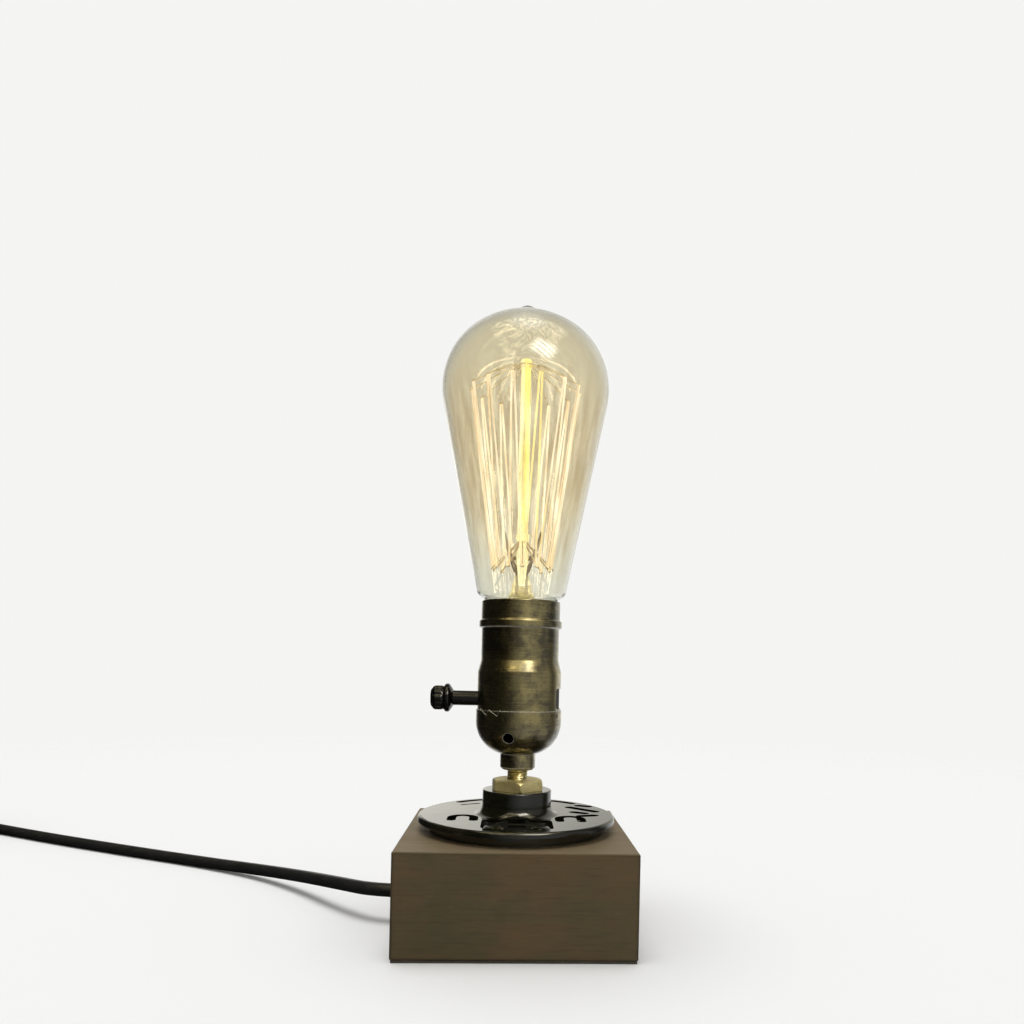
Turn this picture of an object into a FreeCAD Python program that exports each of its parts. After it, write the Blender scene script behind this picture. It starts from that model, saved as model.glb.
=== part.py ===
import FreeCAD, Part
import math
import os

# Table lamp: a wooden block, a pierced black plate, a brass socket with a turn
# switch and a filament bulb. Millimetres. The lamp stands on Z = 0, its axis is
# the Z axis, -Y is the front and the switch points to -X.

V = FreeCAD.Vector
CENTRE = V(0, 0, 0)
UP = V(0, 0, 1)
SIDEWAYS = V(1, 0, 0)
REARWARDS = V(0, 1, 0)

# Clearances
seat_gap = 0.05
thread_gap = 0.05
running_gap = 0.06
free_gap = 0.30

# Wooden block and felt
block_side = 84.0
block_height = 36.5
block_bevel = 0.5
felt_thickness = 0.8
felt_inset = 0.4
recess_radius = 25.0
recess_depth = 22.0
cord_hole_height = 12.5

# Black plate
plate_radius = 37.8
plate_thickness = 1.9
plate_edge_round = 1.1
rim_height = 2.6
foot_radius = 33.6
foot_height = 3.3
foot_wall = 1.4
boss_radius = 9.5
hub_radius = 13.3
hub_height = 9.4
hub_edge_round = 0.5
hub_flare = 3.4
floor_thickness = 4.2
floor_half_angle = 45.0

# Openings in the plate
window_half_width = 13.0
window_inner_edge = 14.0
window_outer_radius = 32.7
window_corner = 2.5
rear_slot_radius = 33.5
rear_slot_width = 3.4
rear_slot_half_angle = 44.0
arch_slot_x = 20.1
arch_slot_y = -10.1
arch_slot_radius = 4.1
arch_slot_width = 3.4
arch_slot_leg = 5.0
side_slot_width = 4.0
side_slots = [
    ((25.9, 18.7), (29.3, 17.2)),
    ((21.7, 14.5), (31.0, 5.7)),
    ((22.7, 3.5), (26.4, 1.5)),
    ((24.9, -4.4), (29.8, -2.8)),
]
thin_slot_width = 1.6
thin_slot = ((-22.0, 17.5), (-15.5, 21.2))
bar_length = 6.6
bar_width = 3.0
bar_height = 1.2
bar_distance = 20.2

# Screws that hold the plate
plate_screw_x = 8.5
plate_screw_distance = 24.0
plate_screw_head = 4.0
plate_screw_head_height = 1.5
plate_screw_shank = 1.6
plate_screw_length = 12.0

# Threaded tube with its nuts and washer
nipple_radius = 4.0
nipple_bore = 2.75
nipple_tail = 8.0
nipple_grip = 5.6
nut_flats = 18.3
nut_height = 4.0
nut_corner_azimuth = -83.5
nut_top_round = 1.3
lock_nut_flats = 14.0
lock_nut_height = 4.0
washer_radius = 11.0
washer_thickness = 1.5

# Socket cap
sheet = 0.35
lap_gap = 0.03
neck_gap = 3.7
neck_radius = 6.8
neck_height = 6.15
neck_bevel = 0.9
bowl_radius = 13.0
bowl_slope = 15.0
bowl_height = 17.05
cap_hole_radius = 2.0
cap_hole_azimuth = -105.0
cap_hole_height = 7.65
tooth_depth = 1.9
tooth_peak = 0.5
tooth_starts = [-153.0, -135.0]
tooth_length = 19.0
tooth_tip = 15.0
latch_slit_azimuth = 28.3
latch_slit_width = 1.0
latch_slit_depth = 3.0
set_screw_radius = 1.5
set_screw_proud = 1.3

# Socket shell
shell_radius = 16.1
shell_lap = 3.0
shoulder_low = 14.5
shoulder_high = 19.0
shoulder_round = 3.2
collar_radius = 14.95
bead_low = 31.2
bead_high = 34.5
bead_radius = 15.98
rim_radius = 15.2
shell_height = 41.8
side_window_half_angle = 30.0
side_window_low = 0.7
side_window_height = 7.7
side_window_corner = 1.2

# Insulating sleeve, switch body and contacts
liner_wall = 0.4
liner_gap = 0.2
switch_body_drop = 3.4
seat_below_rim = 29.4
switch_height = 4.0
cam_room_radius = 5.2
cam_room_depth = 12.0
cam_room_start = 9.0
screw_shell_wall = 0.3
screw_shell_height = 23.0
screw_shell_gap = 0.3
tongue_thickness = 0.5
tongue_width = 5.0
tongue_reach = 8.5
terminal_screw_radius = 1.6
terminal_screw_head = 2.9
terminal_screw_head_height = 1.6
terminal_screw_length = 5.0
terminal_distance = 9.5

# Turning switch key
stem_radius = 2.85
knob_collar_start = 25.4
knob_collar_radius = 5.5
knob_collar_end = 28.3
knob_groove_radius = 4.4
knob_grip_start = 29.9
knob_grip_radius = 4.8
knob_grip_end = 32.6
knob_end = 34.0
cam_radius = 4.2
cam_length = 6.0
cam_flat = 2.6

# Wires inside the lamp
wire_radius = 0.95
wire_spacing = 2.2

# Bulb, measured up from its centre contact
bulb_gap = 0.3
bulb_length = 142.0
bulb_base_radius = 13.03
bulb_base_wall = 0.3
bulb_base_low = 3.0
bulb_base_high = 23.6
bulb_contact_radius = 4.6
bulb_contact_height = 1.1
insulator_radius = 9.6
dome_radius = 32.1
dome_height = 29.1
dome_side_radius = 27.5
cone_angle = 11.2
glass_wall = 0.8
glass_neck_radius = 12.5
glass_neck_low = 20.0
glass_neck_high = 26.6
glass_foot_round = 3.4
glass_foot_height = 30.0
tip_radius = 2.3
tip_height = 3.8
tip_spread = 4.0

# Inside the bulb, measured up from its centre contact
stem_seal_gap = 0.2
stem_foot_height = 26.5
stem_press_height = 48.0
stem_press_width = 5.0
stem_press_thickness = 2.2
rod_radius = 1.1
rod_top = 120.0
button_radius = 2.0
lower_button_height = 52.0
cage_hooks = 13
cage_open_azimuth = 90.0
cage_top_radius = 21.3
cage_top_height = 109.6
cage_bottom_radius = 11.5
cage_bottom_height = 40.0
filament_radius = 0.22
hook_radius = 0.3
hook_gap = 0.3
lead_radius = 0.4

# Cord on the table, its grommet and its coil
cord_radius = 2.6
grommet_gap = 0.1
grommet_wall = 1.7
grommet_length = 11.0
grommet_flange = 6.0
grommet_flange_thickness = 1.2
cord_route = [
    (-30.0, 0.0, 12.5),
    (-52.5, 0.0, 12.5),
    (-71.5, 17.4, 10.8),
    (-91.5, 40.8, 7.2),
    (-114.5, 61.8, 4.3),
    (-146.0, 81.3, 2.6),
    (-205.0, 109.8, 2.6),
    (-254.0, 135.0, 2.6),
    (-299.0, 160.4, 2.6),
]
coil_lead_in = 20.0
coil_middle_radius = 31.2
coil_width = 10.4
coil_height = 20.8
coil_lead_out_azimuth = 180.0
coil_lead_out_length = 22.0
tie_thickness = 0.7
tie_angle = 18.0
tie_azimuth = 300.0
tie_gap = 0.05

# Plug
plug_length = 27.0
plug_width = 24.0
plug_height = 13.0
plug_round = 3.0
plug_sleeve_length = 20.0
plug_sleeve_radius = 4.6
plug_sleeve_tip = 3.6
blade_spacing = 12.7
blade_thickness = 1.5
blade_height = 6.35
blade_length = 17.0

# Heights that follow from the sizes above
block_top = felt_thickness + block_height
recess_top = felt_thickness + recess_depth
plate_top = block_top + foot_height + rim_height
plate_underside = plate_top - plate_thickness
hub_top = plate_top + hub_height
nut_top = hub_top + nut_height
neck_bottom = nut_top + neck_gap
neck_top = neck_bottom + neck_height
seam = neck_top + bowl_height
rim_top = seam + shell_height
cap_radius = shell_radius + lap_gap + sheet
switch_axis = seam + switch_height
liner_inset = sheet + liner_gap
body_radius = shell_radius - liner_inset - liner_wall - liner_gap
body_bottom = seam - switch_body_drop
body_top = rim_top - seat_below_rim
tongue_top = body_top + 2.0 * tongue_thickness + 0.8
bulb_bottom = tongue_top + bulb_gap
nipple_bottom = recess_top - nipple_tail
nipple_top = neck_bottom + nipple_grip


def rounded_wire(corners):
    """A closed wire through corners (vector, radius), rounded by tangent arcs."""
    count = len(corners)
    points = [corner[0] for corner in corners]
    entries = []
    exits = []
    middles = []
    for i in range(count):
        here = points[i]
        back = points[i - 1] - here
        onward = points[(i + 1) % count] - here
        radius = corners[i][1]
        entries.append(here)
        exits.append(here)
        middles.append(None)
        if radius <= 0:
            continue
        half = back.getAngle(onward) / 2.0
        reach = radius / math.tan(half)
        room = 0.49 * min(back.Length, onward.Length)
        if corners[i - 1][1] <= 0 and corners[(i + 1) % count][1] <= 0:
            room = 0.98 * min(back.Length, onward.Length)
        reach = min(reach, room)
        radius = reach * math.tan(half)
        towards_back = V(back).normalize()
        towards_next = V(onward).normalize()
        bisector = (towards_back + towards_next).normalize()
        entries[i] = here + towards_back * reach
        exits[i] = here + towards_next * reach
        middles[i] = here + bisector * (radius / math.sin(half) - radius)
    edges = []
    for i in range(count):
        if middles[i] is not None:
            edges.append(Part.Arc(entries[i], middles[i], exits[i]).toShape())
        start = exits[i]
        end = entries[(i + 1) % count]
        if (end - start).Length > 1e-6:
            edges.append(Part.makeLine(start, end))
    return Part.Wire(edges)


def turned(*corners):
    """A solid turned about Z; corners are (radius, height) or (radius, height, round)."""
    listed = [(V(c[0], 0, c[1]), c[2] if len(c) > 2 else 0) for c in corners]
    return Part.Face(rounded_wire(listed)).revolve(CENTRE, UP, 360)


def drum(radius, bottom, top):
    """A plain round solid on the Z axis."""
    return Part.makeCylinder(radius, top - bottom, V(0, 0, bottom))


def ring(outer, inner, bottom, top):
    """A plain round solid with a round hole."""
    return drum(outer, bottom, top).cut(drum(inner, bottom - 1, top + 1))


def rod(start, end, radius):
    """A round bar from one point to another."""
    return Part.makeCylinder(radius, (end - start).Length, start, end - start)


def slab(wire, bottom, top):
    """A flat outline drawn at Z = 0, raised between two heights."""
    solid = Part.Face(wire).extrude(UP * (top - bottom))
    solid.translate(V(0, 0, bottom))
    return solid


def box(low, high):
    """A box between two opposite corners."""
    size = V(high) - V(low)
    return Part.makeBox(size.x, size.y, size.z, V(low))


def at_azimuth(degrees, radius, height=0.0):
    """A point at an azimuth about the Z axis."""
    angle = math.radians(degrees)
    return V(radius * math.cos(angle), radius * math.sin(angle), height)


def hexagon(flats, bottom, top, azimuth=0.0):
    """A hexagonal bar with one corner at an azimuth."""
    corner = flats / 2.0 / math.cos(math.radians(30))
    points = [at_azimuth(azimuth + 60 * i, corner) for i in range(7)]
    return slab(Part.makePolygon(points), bottom, top)


def path_wire(points, print_name=""):
    """Straight runs joined by the largest arcs that both runs leave room for."""
    points = [V(*p) for p in points]
    edges = []
    start = points[0]
    radii = []
    for before, here, after in zip(points, points[1:], points[2:]):
        back = before - here
        onward = after - here
        half_turn = (math.pi - back.getAngle(onward)) / 2.0
        reach = 0.45 * min(back.Length, onward.Length)
        radius = reach / math.tan(half_turn)
        radii.append(round(radius, 1))
        entry = here + V(back).normalize() * reach
        leave = here + V(onward).normalize() * reach
        bisector = (V(back).normalize() + V(onward).normalize()).normalize()
        middle = here + bisector * (radius / math.cos(half_turn) - radius)
        edges.append(Part.makeLine(start, entry))
        edges.append(Part.Arc(entry, middle, leave).toShape())
        start = leave
    edges.append(Part.makeLine(start, points[-1]))
    if print_name:
        print(print_name, "radii", radii)
    return Part.Wire(edges)


def tube_along(points, radius, print_name=""):
    """A round solid swept along straight runs and tangent arcs."""
    wire = path_wire(points, print_name)
    direction = V(*points[1]) - V(*points[0])
    section = Part.Wire(Part.makeCircle(radius, V(*points[0]), direction))
    tube = wire.makePipeShell([section], True, False, 2)
    expected = math.pi * radius ** 2 * wire.Length
    if print_name:
        print(print_name, "length", round(wire.Length, 1))
        print(print_name, "volume over section times length", round(tube.Volume / expected, 4))
    return tube


def keep(name, shape):
    """Writes one node."""
    if isinstance(shape, (list, tuple)):
        shape = Part.makeCompound(list(shape))
    shape.exportStep("parts/" + name + ".step")
    solids = len(shape.Solids)
    print(name, "solids", solids, "volume", round(shape.Volume, 1), "valid", shape.isValid())


# Block and felt


def plate_screw_places():
    """The two screws stand side by side in the front window."""
    return [V(side * plate_screw_x, -plate_screw_distance, 0) for side in (-1, 1)]


def base_block():
    half = block_side / 2.0
    block = box((-half, -half, felt_thickness), (half, half, block_top))
    block = block.makeChamfer(block_bevel, block.Edges)
    block = block.cut(drum(recess_radius, felt_thickness - 1, recess_top))
    block = block.cut(drum(nipple_radius + seat_gap, recess_top - 1, block_top + 1))
    mouth = V(-half - 1, 0, cord_hole_height)
    hole_radius = cord_radius + grommet_gap + grommet_wall + seat_gap
    block = block.cut(Part.makeCylinder(hole_radius, half + 1, mouth, SIDEWAYS))
    for place in plate_screw_places():
        bottom = plate_floor_top() - plate_screw_length - 0.5
        pilot = drum(plate_screw_shank + thread_gap, bottom, block_top + 1)
        pilot.translate(place)
        block = block.cut(pilot)
    return block


def base_felt():
    half = block_side / 2.0 - felt_inset
    return box((-half, -half, 0), (half, half, felt_thickness))


# Black plate


def plate_floor_top():
    return block_top + floor_thickness


def capsule(start, end, width, bottom, top):
    """A slot cutter with round ends."""
    start = V(start[0], start[1], bottom)
    end = V(end[0], end[1], bottom)
    along = end - start
    across = V(-along.y, along.x, 0).normalize() * (width / 2.0)
    corners = [start + across, start - across, end - across, end + across, start + across]
    bar = Part.Face(Part.makePolygon(corners)).extrude(UP * (top - bottom))
    ends = [Part.makeCylinder(width / 2.0, top - bottom, p) for p in (start, end)]
    return bar.fuse(ends)


def bent_slot(centre, radius, width, first, last, bottom, top):
    """A slot cutter along an arc, from one azimuth to another, with round ends."""
    low = centre + at_azimuth(first, radius - width / 2.0, bottom)
    outline = Part.Face(Part.Wire([
        Part.makeLine(low, centre + at_azimuth(first, radius + width / 2.0, bottom)),
        Part.makeLine(
            centre + at_azimuth(first, radius + width / 2.0, bottom),
            centre + at_azimuth(first, radius + width / 2.0, top),
        ),
        Part.makeLine(
            centre + at_azimuth(first, radius + width / 2.0, top),
            centre + at_azimuth(first, radius - width / 2.0, top),
        ),
        Part.makeLine(centre + at_azimuth(first, radius - width / 2.0, top), low),
    ]))
    band = outline.revolve(centre, UP, last - first)
    tips = []
    for azimuth in (first, last):
        place = centre + at_azimuth(azimuth, radius, bottom)
        tips.append(Part.makeCylinder(width / 2.0, top - bottom, place))
    return band.fuse(tips)


def arch_slot(side, bottom, top):
    """The arch-shaped slot beside the window; side is -1 for left and 1 for right."""
    centre = V(side * arch_slot_x, arch_slot_y, 0)
    arch = bent_slot(centre, arch_slot_radius, arch_slot_width, 0, 180, bottom, top)
    legs = []
    for foot in (centre - V(arch_slot_radius, 0, 0), centre + V(arch_slot_radius, 0, 0)):
        leg_end = foot + V(0, -arch_slot_leg, 0)
        legs.append(capsule(foot, leg_end, arch_slot_width, bottom, top))
    return arch.fuse(legs)


def plate_window(bottom, top):
    """The wide window at the front of the plate."""
    low = V(-window_half_width, -plate_radius, bottom)
    high = V(window_half_width, -window_inner_edge, top)
    window = box(low, high).common(drum(window_outer_radius, bottom, top))
    upright = [e for e in window.Edges if abs(e.tangentAt(e.FirstParameter).z) > 0.99]
    return window.makeFillet(window_corner, upright)


def plate_floor():
    """The low floor between hub and foot that carries the screws."""
    sector = ring(foot_radius - foot_wall / 2.0, boss_radius - 1.0, block_top, plate_floor_top())
    reach = plate_radius
    left = at_azimuth(-90 - floor_half_angle, reach, block_top - 1)
    right = at_azimuth(-90 + floor_half_angle, reach, block_top - 1)
    front = V(0, -2.0 * reach, block_top - 1)
    corners = [V(0, 0, block_top - 1), left, front, right, V(0, 0, block_top - 1)]
    wedge = Part.Face(Part.makePolygon(corners)).extrude(UP * hub_height)
    bar_low = V(-bar_length / 2.0, -bar_distance - bar_width / 2.0, plate_floor_top() - 0.5)
    bar_high = V(bar_length / 2.0, -bar_distance + bar_width / 2.0, plate_floor_top() + bar_height)
    bar = box(bar_low, bar_high)
    return sector.common(wedge).fuse(bar)


def flange_plate():
    bore = nipple_radius + seat_gap
    plate = turned(
        (bore, block_top),
        (boss_radius, block_top),
        (boss_radius, plate_underside, 1.0),
        (foot_radius - foot_wall, plate_underside, 0.4),
        (foot_radius - foot_wall, block_top),
        (foot_radius, block_top),
        (foot_radius, plate_top - rim_height, 0.5),
        (plate_radius, plate_top - rim_height, 0.5),
        (plate_radius, plate_top, plate_edge_round),
        (hub_radius, plate_top, hub_flare),
        (hub_radius, hub_top, hub_edge_round),
        (bore, hub_top),
    )
    bottom = plate_underside - 0.05
    top = hub_top
    plate = plate.cut(plate_window(bottom, top))
    plate = plate.fuse(plate_floor())
    rear = bent_slot(
        CENTRE,
        rear_slot_radius,
        rear_slot_width,
        90 - rear_slot_half_angle,
        90 + rear_slot_half_angle,
        plate_top - rim_height + 0.6,
        top,
    )
    plate = plate.cut(rear)
    for side in (-1, 1):
        plate = plate.cut(arch_slot(side, bottom, top))
    for start, end in side_slots:
        plate = plate.cut(capsule(start, end, side_slot_width, bottom, top))
    plate = plate.cut(capsule(*thin_slot, thin_slot_width, bottom, top))
    for place in plate_screw_places():
        hole = drum(plate_screw_shank + thread_gap, block_top - 1, plate_floor_top() + 1)
        hole.translate(place)
        plate = plate.cut(hole)
    return plate


def flange_screws():
    screws = []
    floor = plate_floor_top()
    for place in plate_screw_places():
        screw = turned(
            (0, floor),
            (plate_screw_head, floor),
            (plate_screw_head, floor + plate_screw_head_height, 1.2),
            (0, floor + plate_screw_head_height),
        )
        shank = turned(
            (0, floor - plate_screw_length),
            (plate_screw_shank, floor - plate_screw_length + 2.0 * plate_screw_shank),
            (plate_screw_shank, floor),
            (0, floor),
        )
        screw = screw.fuse(shank)
        screw.translate(place)
        screws.append(screw)
    return screws


# Threaded tube, nuts and washer


def lamp_nipple():
    return ring(nipple_radius, nipple_bore, nipple_bottom, nipple_top)


def hex_nut():
    corner = nut_flats / 2.0 / math.cos(math.radians(30))
    bar = hexagon(nut_flats, hub_top, nut_top, nut_corner_azimuth)
    envelope = turned(
        (nipple_radius + thread_gap, hub_top),
        (corner - 0.5, hub_top),
        (corner + 0.1, hub_top + 0.6),
        (corner + 0.1, nut_top, nut_top_round + 0.9),
        (nipple_radius + thread_gap, nut_top),
    )
    return bar.common(envelope)


def nipple_washer():
    return ring(washer_radius, nipple_radius + seat_gap, recess_top - washer_thickness, recess_top)


def nipple_nut():
    top = recess_top - washer_thickness
    bar = hexagon(lock_nut_flats, top - lock_nut_height, top)
    return bar.cut(drum(nipple_radius + thread_gap, nipple_bottom - 5, top + 1))


# Socket


def cap_body(inset, top):
    """The cup's outer shape, drawn smaller by an inset."""
    slope = math.tan(math.radians(bowl_slope))
    rise = (cap_radius - neck_radius) * slope
    return turned(
        (0, neck_top + inset - neck_radius * slope * 0.2),
        (neck_radius, neck_top + inset),
        (cap_radius - inset, neck_top + rise + inset, bowl_radius - inset),
        (cap_radius - inset, top),
        (0, top),
    )


def tooth(start, mirror):
    """A pointed notch in the cap's upper edge, cut through its wall."""
    outer = cap_radius + 1.0
    tip = start + tooth_tip * mirror
    end = start + tooth_length * mirror
    points = [
        at_azimuth(start, outer, seam + tooth_peak + 0.01),
        at_azimuth(tip, outer, seam - tooth_depth),
        at_azimuth(end, outer, seam + tooth_peak + 0.01),
    ]
    points.append(points[0])
    inner = [p * ((cap_radius - 2.0) / outer) for p in points]
    for near, far in zip(inner, points):
        near.z = far.z
    loops = [Part.makePolygon(inner), Part.makePolygon(points)]
    return Part.makeLoft(loops, True, True)


def socket_cap():
    cap = cap_body(0.0, seam + tooth_peak)
    inside = cap_body(sheet, seam + tooth_peak + 1)
    cap = cap.cut(inside)
    neck = turned(
        (nipple_radius + thread_gap, neck_bottom),
        (neck_radius - neck_bevel, neck_bottom),
        (neck_radius, neck_bottom + neck_bevel),
        (neck_radius, neck_top + sheet),
        (nipple_radius + thread_gap, neck_top + sheet),
    )
    bore = drum(nipple_radius + thread_gap, neck_bottom - 1, neck_top + 3)
    cap = cap.fuse(neck).cut(bore)
    low_side = ring(cap_radius + 1, cap_radius - 1, seam, seam + tooth_peak + 1)
    between = tooth_band(low_side)
    cap = cap.cut(between)
    for start in tooth_starts:
        cap = cap.cut(tooth(start, 1))
        cap = cap.cut(tooth(-start, -1))
    hole_height = neck_top + cap_hole_height
    hole_start = at_azimuth(cap_hole_azimuth, 5.0, hole_height)
    hole_end = at_azimuth(cap_hole_azimuth, cap_radius + 2, hole_height - 1.0)
    cap = cap.cut(rod(hole_start, hole_end, cap_hole_radius))
    for azimuth in (-latch_slit_azimuth, latch_slit_azimuth):
        half = latch_slit_width / 2.0
        low = V(cap_radius - 2, -half, seam - latch_slit_depth)
        slit = box(low, V(cap_radius + 2, half, seam - 0.8))
        slit.rotate(CENTRE, UP, azimuth)
        cap = cap.cut(slit)
    screw_hole = Part.makeCylinder(
        set_screw_radius + thread_gap, neck_radius + 2, V(0, 0, set_screw_height()), REARWARDS
    )
    return cap.cut(screw_hole)


def tooth_band(low_side):
    """All of the cap's edge that stands proud, away from the teeth."""
    first = min(tooth_starts)
    last = max(tooth_starts) + tooth_length
    far = 3.0 * cap_radius
    covers = []
    for mirror in (1, -1):
        corners = [
            V(0, 0, seam - 1),
            at_azimuth(mirror * first, far, seam - 1),
            at_azimuth(mirror * last, far, seam - 1),
            V(0, 0, seam - 1),
        ]
        covers.append(Part.Face(Part.makePolygon(corners)).extrude(UP * 5))
    return low_side.cut(covers)


def set_screw_height():
    return neck_bottom + neck_height / 2.0


def cap_set_screw():
    start = V(0, nipple_radius + seat_gap, set_screw_height())
    end = V(0, neck_radius + set_screw_proud, set_screw_height())
    screw = rod(start, end, set_screw_radius)
    slot_low = V(-set_screw_radius - 1, end.y - 0.7, set_screw_height() - 0.25)
    slot_high = V(set_screw_radius + 1, end.y + 1, set_screw_height() + 0.25)
    return screw.cut(box(slot_low, slot_high))


def shell_body(inset, bottom, top):
    """The shell's outer shape, drawn smaller by an inset."""
    return turned(
        (0, bottom),
        (shell_radius - inset, bottom),
        (shell_radius - inset, seam + shoulder_low, shoulder_round),
        (collar_radius - inset, seam + shoulder_high, shoulder_round),
        (collar_radius - inset, seam + bead_low, 0.3),
        (bead_radius - inset, seam + bead_low + 0.4, 0.9),
        (bead_radius - inset, seam + bead_high - 0.4, 0.9),
        (rim_radius - inset, seam + bead_high, 0.3),
        (rim_radius - inset, top, 0.5 if inset == 0 else 0),
        (0, top),
    )


def side_window():
    """The window in the shell's side, opposite the switch."""
    half = shell_radius * math.sin(math.radians(side_window_half_angle))
    low = V(shell_radius / 2.0, -half, seam + side_window_low)
    high = V(shell_radius + 2, half, seam + side_window_low + side_window_height)
    opening = box(low, high)
    lengthwise = [e for e in opening.Edges if abs(e.tangentAt(e.FirstParameter).x) > 0.99]
    return opening.makeFillet(side_window_corner, lengthwise)


def stem_hole(gap):
    start = V(-cap_radius - 2, 0, switch_axis)
    return Part.makeCylinder(stem_radius + gap, cap_radius, start, SIDEWAYS)


def socket_shell():
    shell = shell_body(0.0, seam - shell_lap, rim_top)
    shell = shell.cut(shell_body(sheet, seam - shell_lap - 1, rim_top + 1))
    shell = shell.cut(side_window())
    return shell.cut(stem_hole(free_gap))


def shell_liner():
    bottom = body_bottom + 0.6
    top = rim_top - 2.5
    liner = shell_body(liner_inset, bottom, top)
    liner = liner.cut(shell_body(liner_inset + liner_wall, bottom - 1, top + 1))
    return liner.cut(stem_hole(free_gap))


def switch_body():
    body = drum(body_radius, body_bottom, body_top)
    step = turned(
        (collar_radius - liner_inset - liner_wall - liner_gap, seam + shoulder_low - 1.5),
        (body_radius + 5, seam + shoulder_low - 1.5),
        (body_radius + 5, rim_top),
        (collar_radius - liner_inset - liner_wall - liner_gap, rim_top),
    )
    body = body.cut(step)
    half = cam_room_radius
    low = V(-cam_room_start, -half, body_bottom - 1)
    high = V(-cam_room_start + cam_room_depth, half, switch_axis + cam_room_radius)
    body = body.cut(box(low, high))
    body = body.cut(
        Part.makeCylinder(
            stem_radius + running_gap, body_radius, V(-body_radius - 1, 0, switch_axis), SIDEWAYS
        )
    )
    for place in terminal_places():
        hole = drum(
            terminal_screw_radius + thread_gap,
            body_bottom - 1,
            body_bottom + terminal_screw_length + 0.5,
        )
        hole.translate(place)
        body = body.cut(hole)
    rivet = drum(tongue_rivet_radius() + thread_gap, body_top - 3, body_top + 1)
    rivet.translate(V(tongue_reach, 0, 0))
    return body.cut(rivet)


def terminal_places():
    return [V(2.0, side * terminal_distance, 0) for side in (-1, 1)]


def terminal_screws():
    screws = []
    for place in terminal_places():
        head = turned(
            (0, body_bottom - terminal_screw_head_height),
            (terminal_screw_head, body_bottom - terminal_screw_head_height, 0.6),
            (terminal_screw_head, body_bottom),
            (0, body_bottom),
        )
        shank = drum(terminal_screw_radius, body_bottom, body_bottom + terminal_screw_length)
        screw = head.fuse(shank)
        screw.translate(place)
        screws.append(screw)
    return screws


def screw_shell_radius():
    return bulb_base_radius + screw_shell_gap + screw_shell_wall


def screw_shell():
    outer = screw_shell_radius()
    cup = ring(outer, outer - screw_shell_wall, body_top, body_top + screw_shell_height)
    foot = ring(outer, outer - 1.2, body_top, body_top + screw_shell_wall)
    return cup.fuse(foot)


def tongue_rivet_radius():
    return 1.2


def centre_contact():
    half = tongue_width / 2.0
    points = [
        V(tongue_reach + 2.2, 0, body_top),
        V(tongue_reach + 2.2, 0, body_top + tongue_thickness),
        V(tongue_reach - 2.2, 0, body_top + tongue_thickness),
        V(2.0, 0, tongue_top),
        V(-3.0, 0, tongue_top),
        V(-3.0, 0, tongue_top - tongue_thickness),
        V(1.8, 0, tongue_top - tongue_thickness),
        V(tongue_reach - 2.4, 0, body_top),
    ]
    points.append(points[0])
    strip = Part.Face(Part.makePolygon(points)).extrude(V(0, tongue_width, 0))
    strip.translate(V(0, -half, 0))
    rivet = drum(tongue_rivet_radius(), body_top - 2.5, body_top + tongue_thickness + 0.4)
    rivet.translate(V(tongue_reach, 0, 0))
    return strip.fuse(rivet)


# Turning switch key, drawn upright and then laid towards -X


def laid(shape):
    """Turns a shape drawn along +Z so that it points to -X at the switch's height."""
    shape.rotate(CENTRE, V(0, 1, 0), -90)
    shape.translate(V(0, 0, switch_axis))
    return shape


def cam_start():
    return cam_room_start - free_gap - cam_length


def switch_stem():
    return laid(drum(stem_radius, cam_room_start - free_gap, knob_collar_start))


def switch_knob():
    return laid(turned(
        (0, knob_collar_start),
        (stem_radius + 0.3, knob_collar_start),
        (knob_collar_radius, knob_collar_start + 1.6, 0.7),
        (knob_collar_radius, knob_collar_end, 0.8),
        (knob_groove_radius, knob_grip_start - 0.8, 0.4),
        (knob_grip_radius, knob_grip_start, 0.4),
        (knob_grip_radius, knob_grip_end, 1.4),
        (knob_grip_radius - 1.7, knob_end, 0.9),
        (0, knob_end),
    ))


def switch_cam():
    cam = drum(cam_radius, cam_start(), cam_start() + cam_length)
    keep_half = cam_radius + 1
    flats = box(
        (-keep_half, -cam_flat, cam_start() - 1),
        (keep_half, cam_flat, cam_start() + cam_length + 1),
    )
    return laid(cam.common(flats))


# Wires from the cord's end to the terminals


def wire(side):
    """One insulated wire: in from the cord, up the threaded tube, out to its screw."""
    rise = wire_spacing / 2.0
    screw = [p for p in terminal_places() if p.y * side > 0][0]
    head = body_bottom - terminal_screw_head_height
    points = [
        (cord_route[0][0] + 0.1, side * rise, cord_hole_height),
        (cord_route[0][0] + 8.0, side * (rise + 0.4), cord_hole_height - 0.6),
        (cord_route[0][0] * 0.47, side * (rise + 1.2), cord_hole_height - 3.4),
        (cord_route[0][0] * 0.18, side * (rise + 0.8), cord_hole_height - 5.6),
        (0.0, side * rise, cord_hole_height - 1.6),
        (0.0, side * (rise + 0.02), nipple_bottom + 8.0),
        (0.02, side * rise, nipple_top - 6.0),
        (0.0, side * (rise + 0.03), nipple_top + 0.8),
        (screw.x * 0.5, side * 6.0, neck_top + 4.0),
        (screw.x, screw.y, head - 4.6),
        (screw.x, screw.y, head - seat_gap),
    ]
    return tube_along(points, wire_radius, "wire")


# Bulb


def dome_centre():
    """Height of the dome's widest part above the centre contact."""
    return bulb_length - tip_height - dome_height


def crown_radius():
    """Radius of the dome's flat top, which runs on smoothly from its rounder side."""
    sideways = dome_radius - dome_side_radius
    squares = sideways ** 2 + dome_height ** 2 - dome_side_radius ** 2
    return squares / (2.0 * (dome_height - dome_side_radius))


def cone_foot_radius(height):
    """Radius of the glass cone at a height above the centre contact."""
    angle = math.radians(cone_angle)
    centre = dome_centre()
    touch = centre - dome_radius * math.sin(angle)
    return dome_radius * math.cos(angle) - (touch - height) * math.tan(angle)


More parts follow.
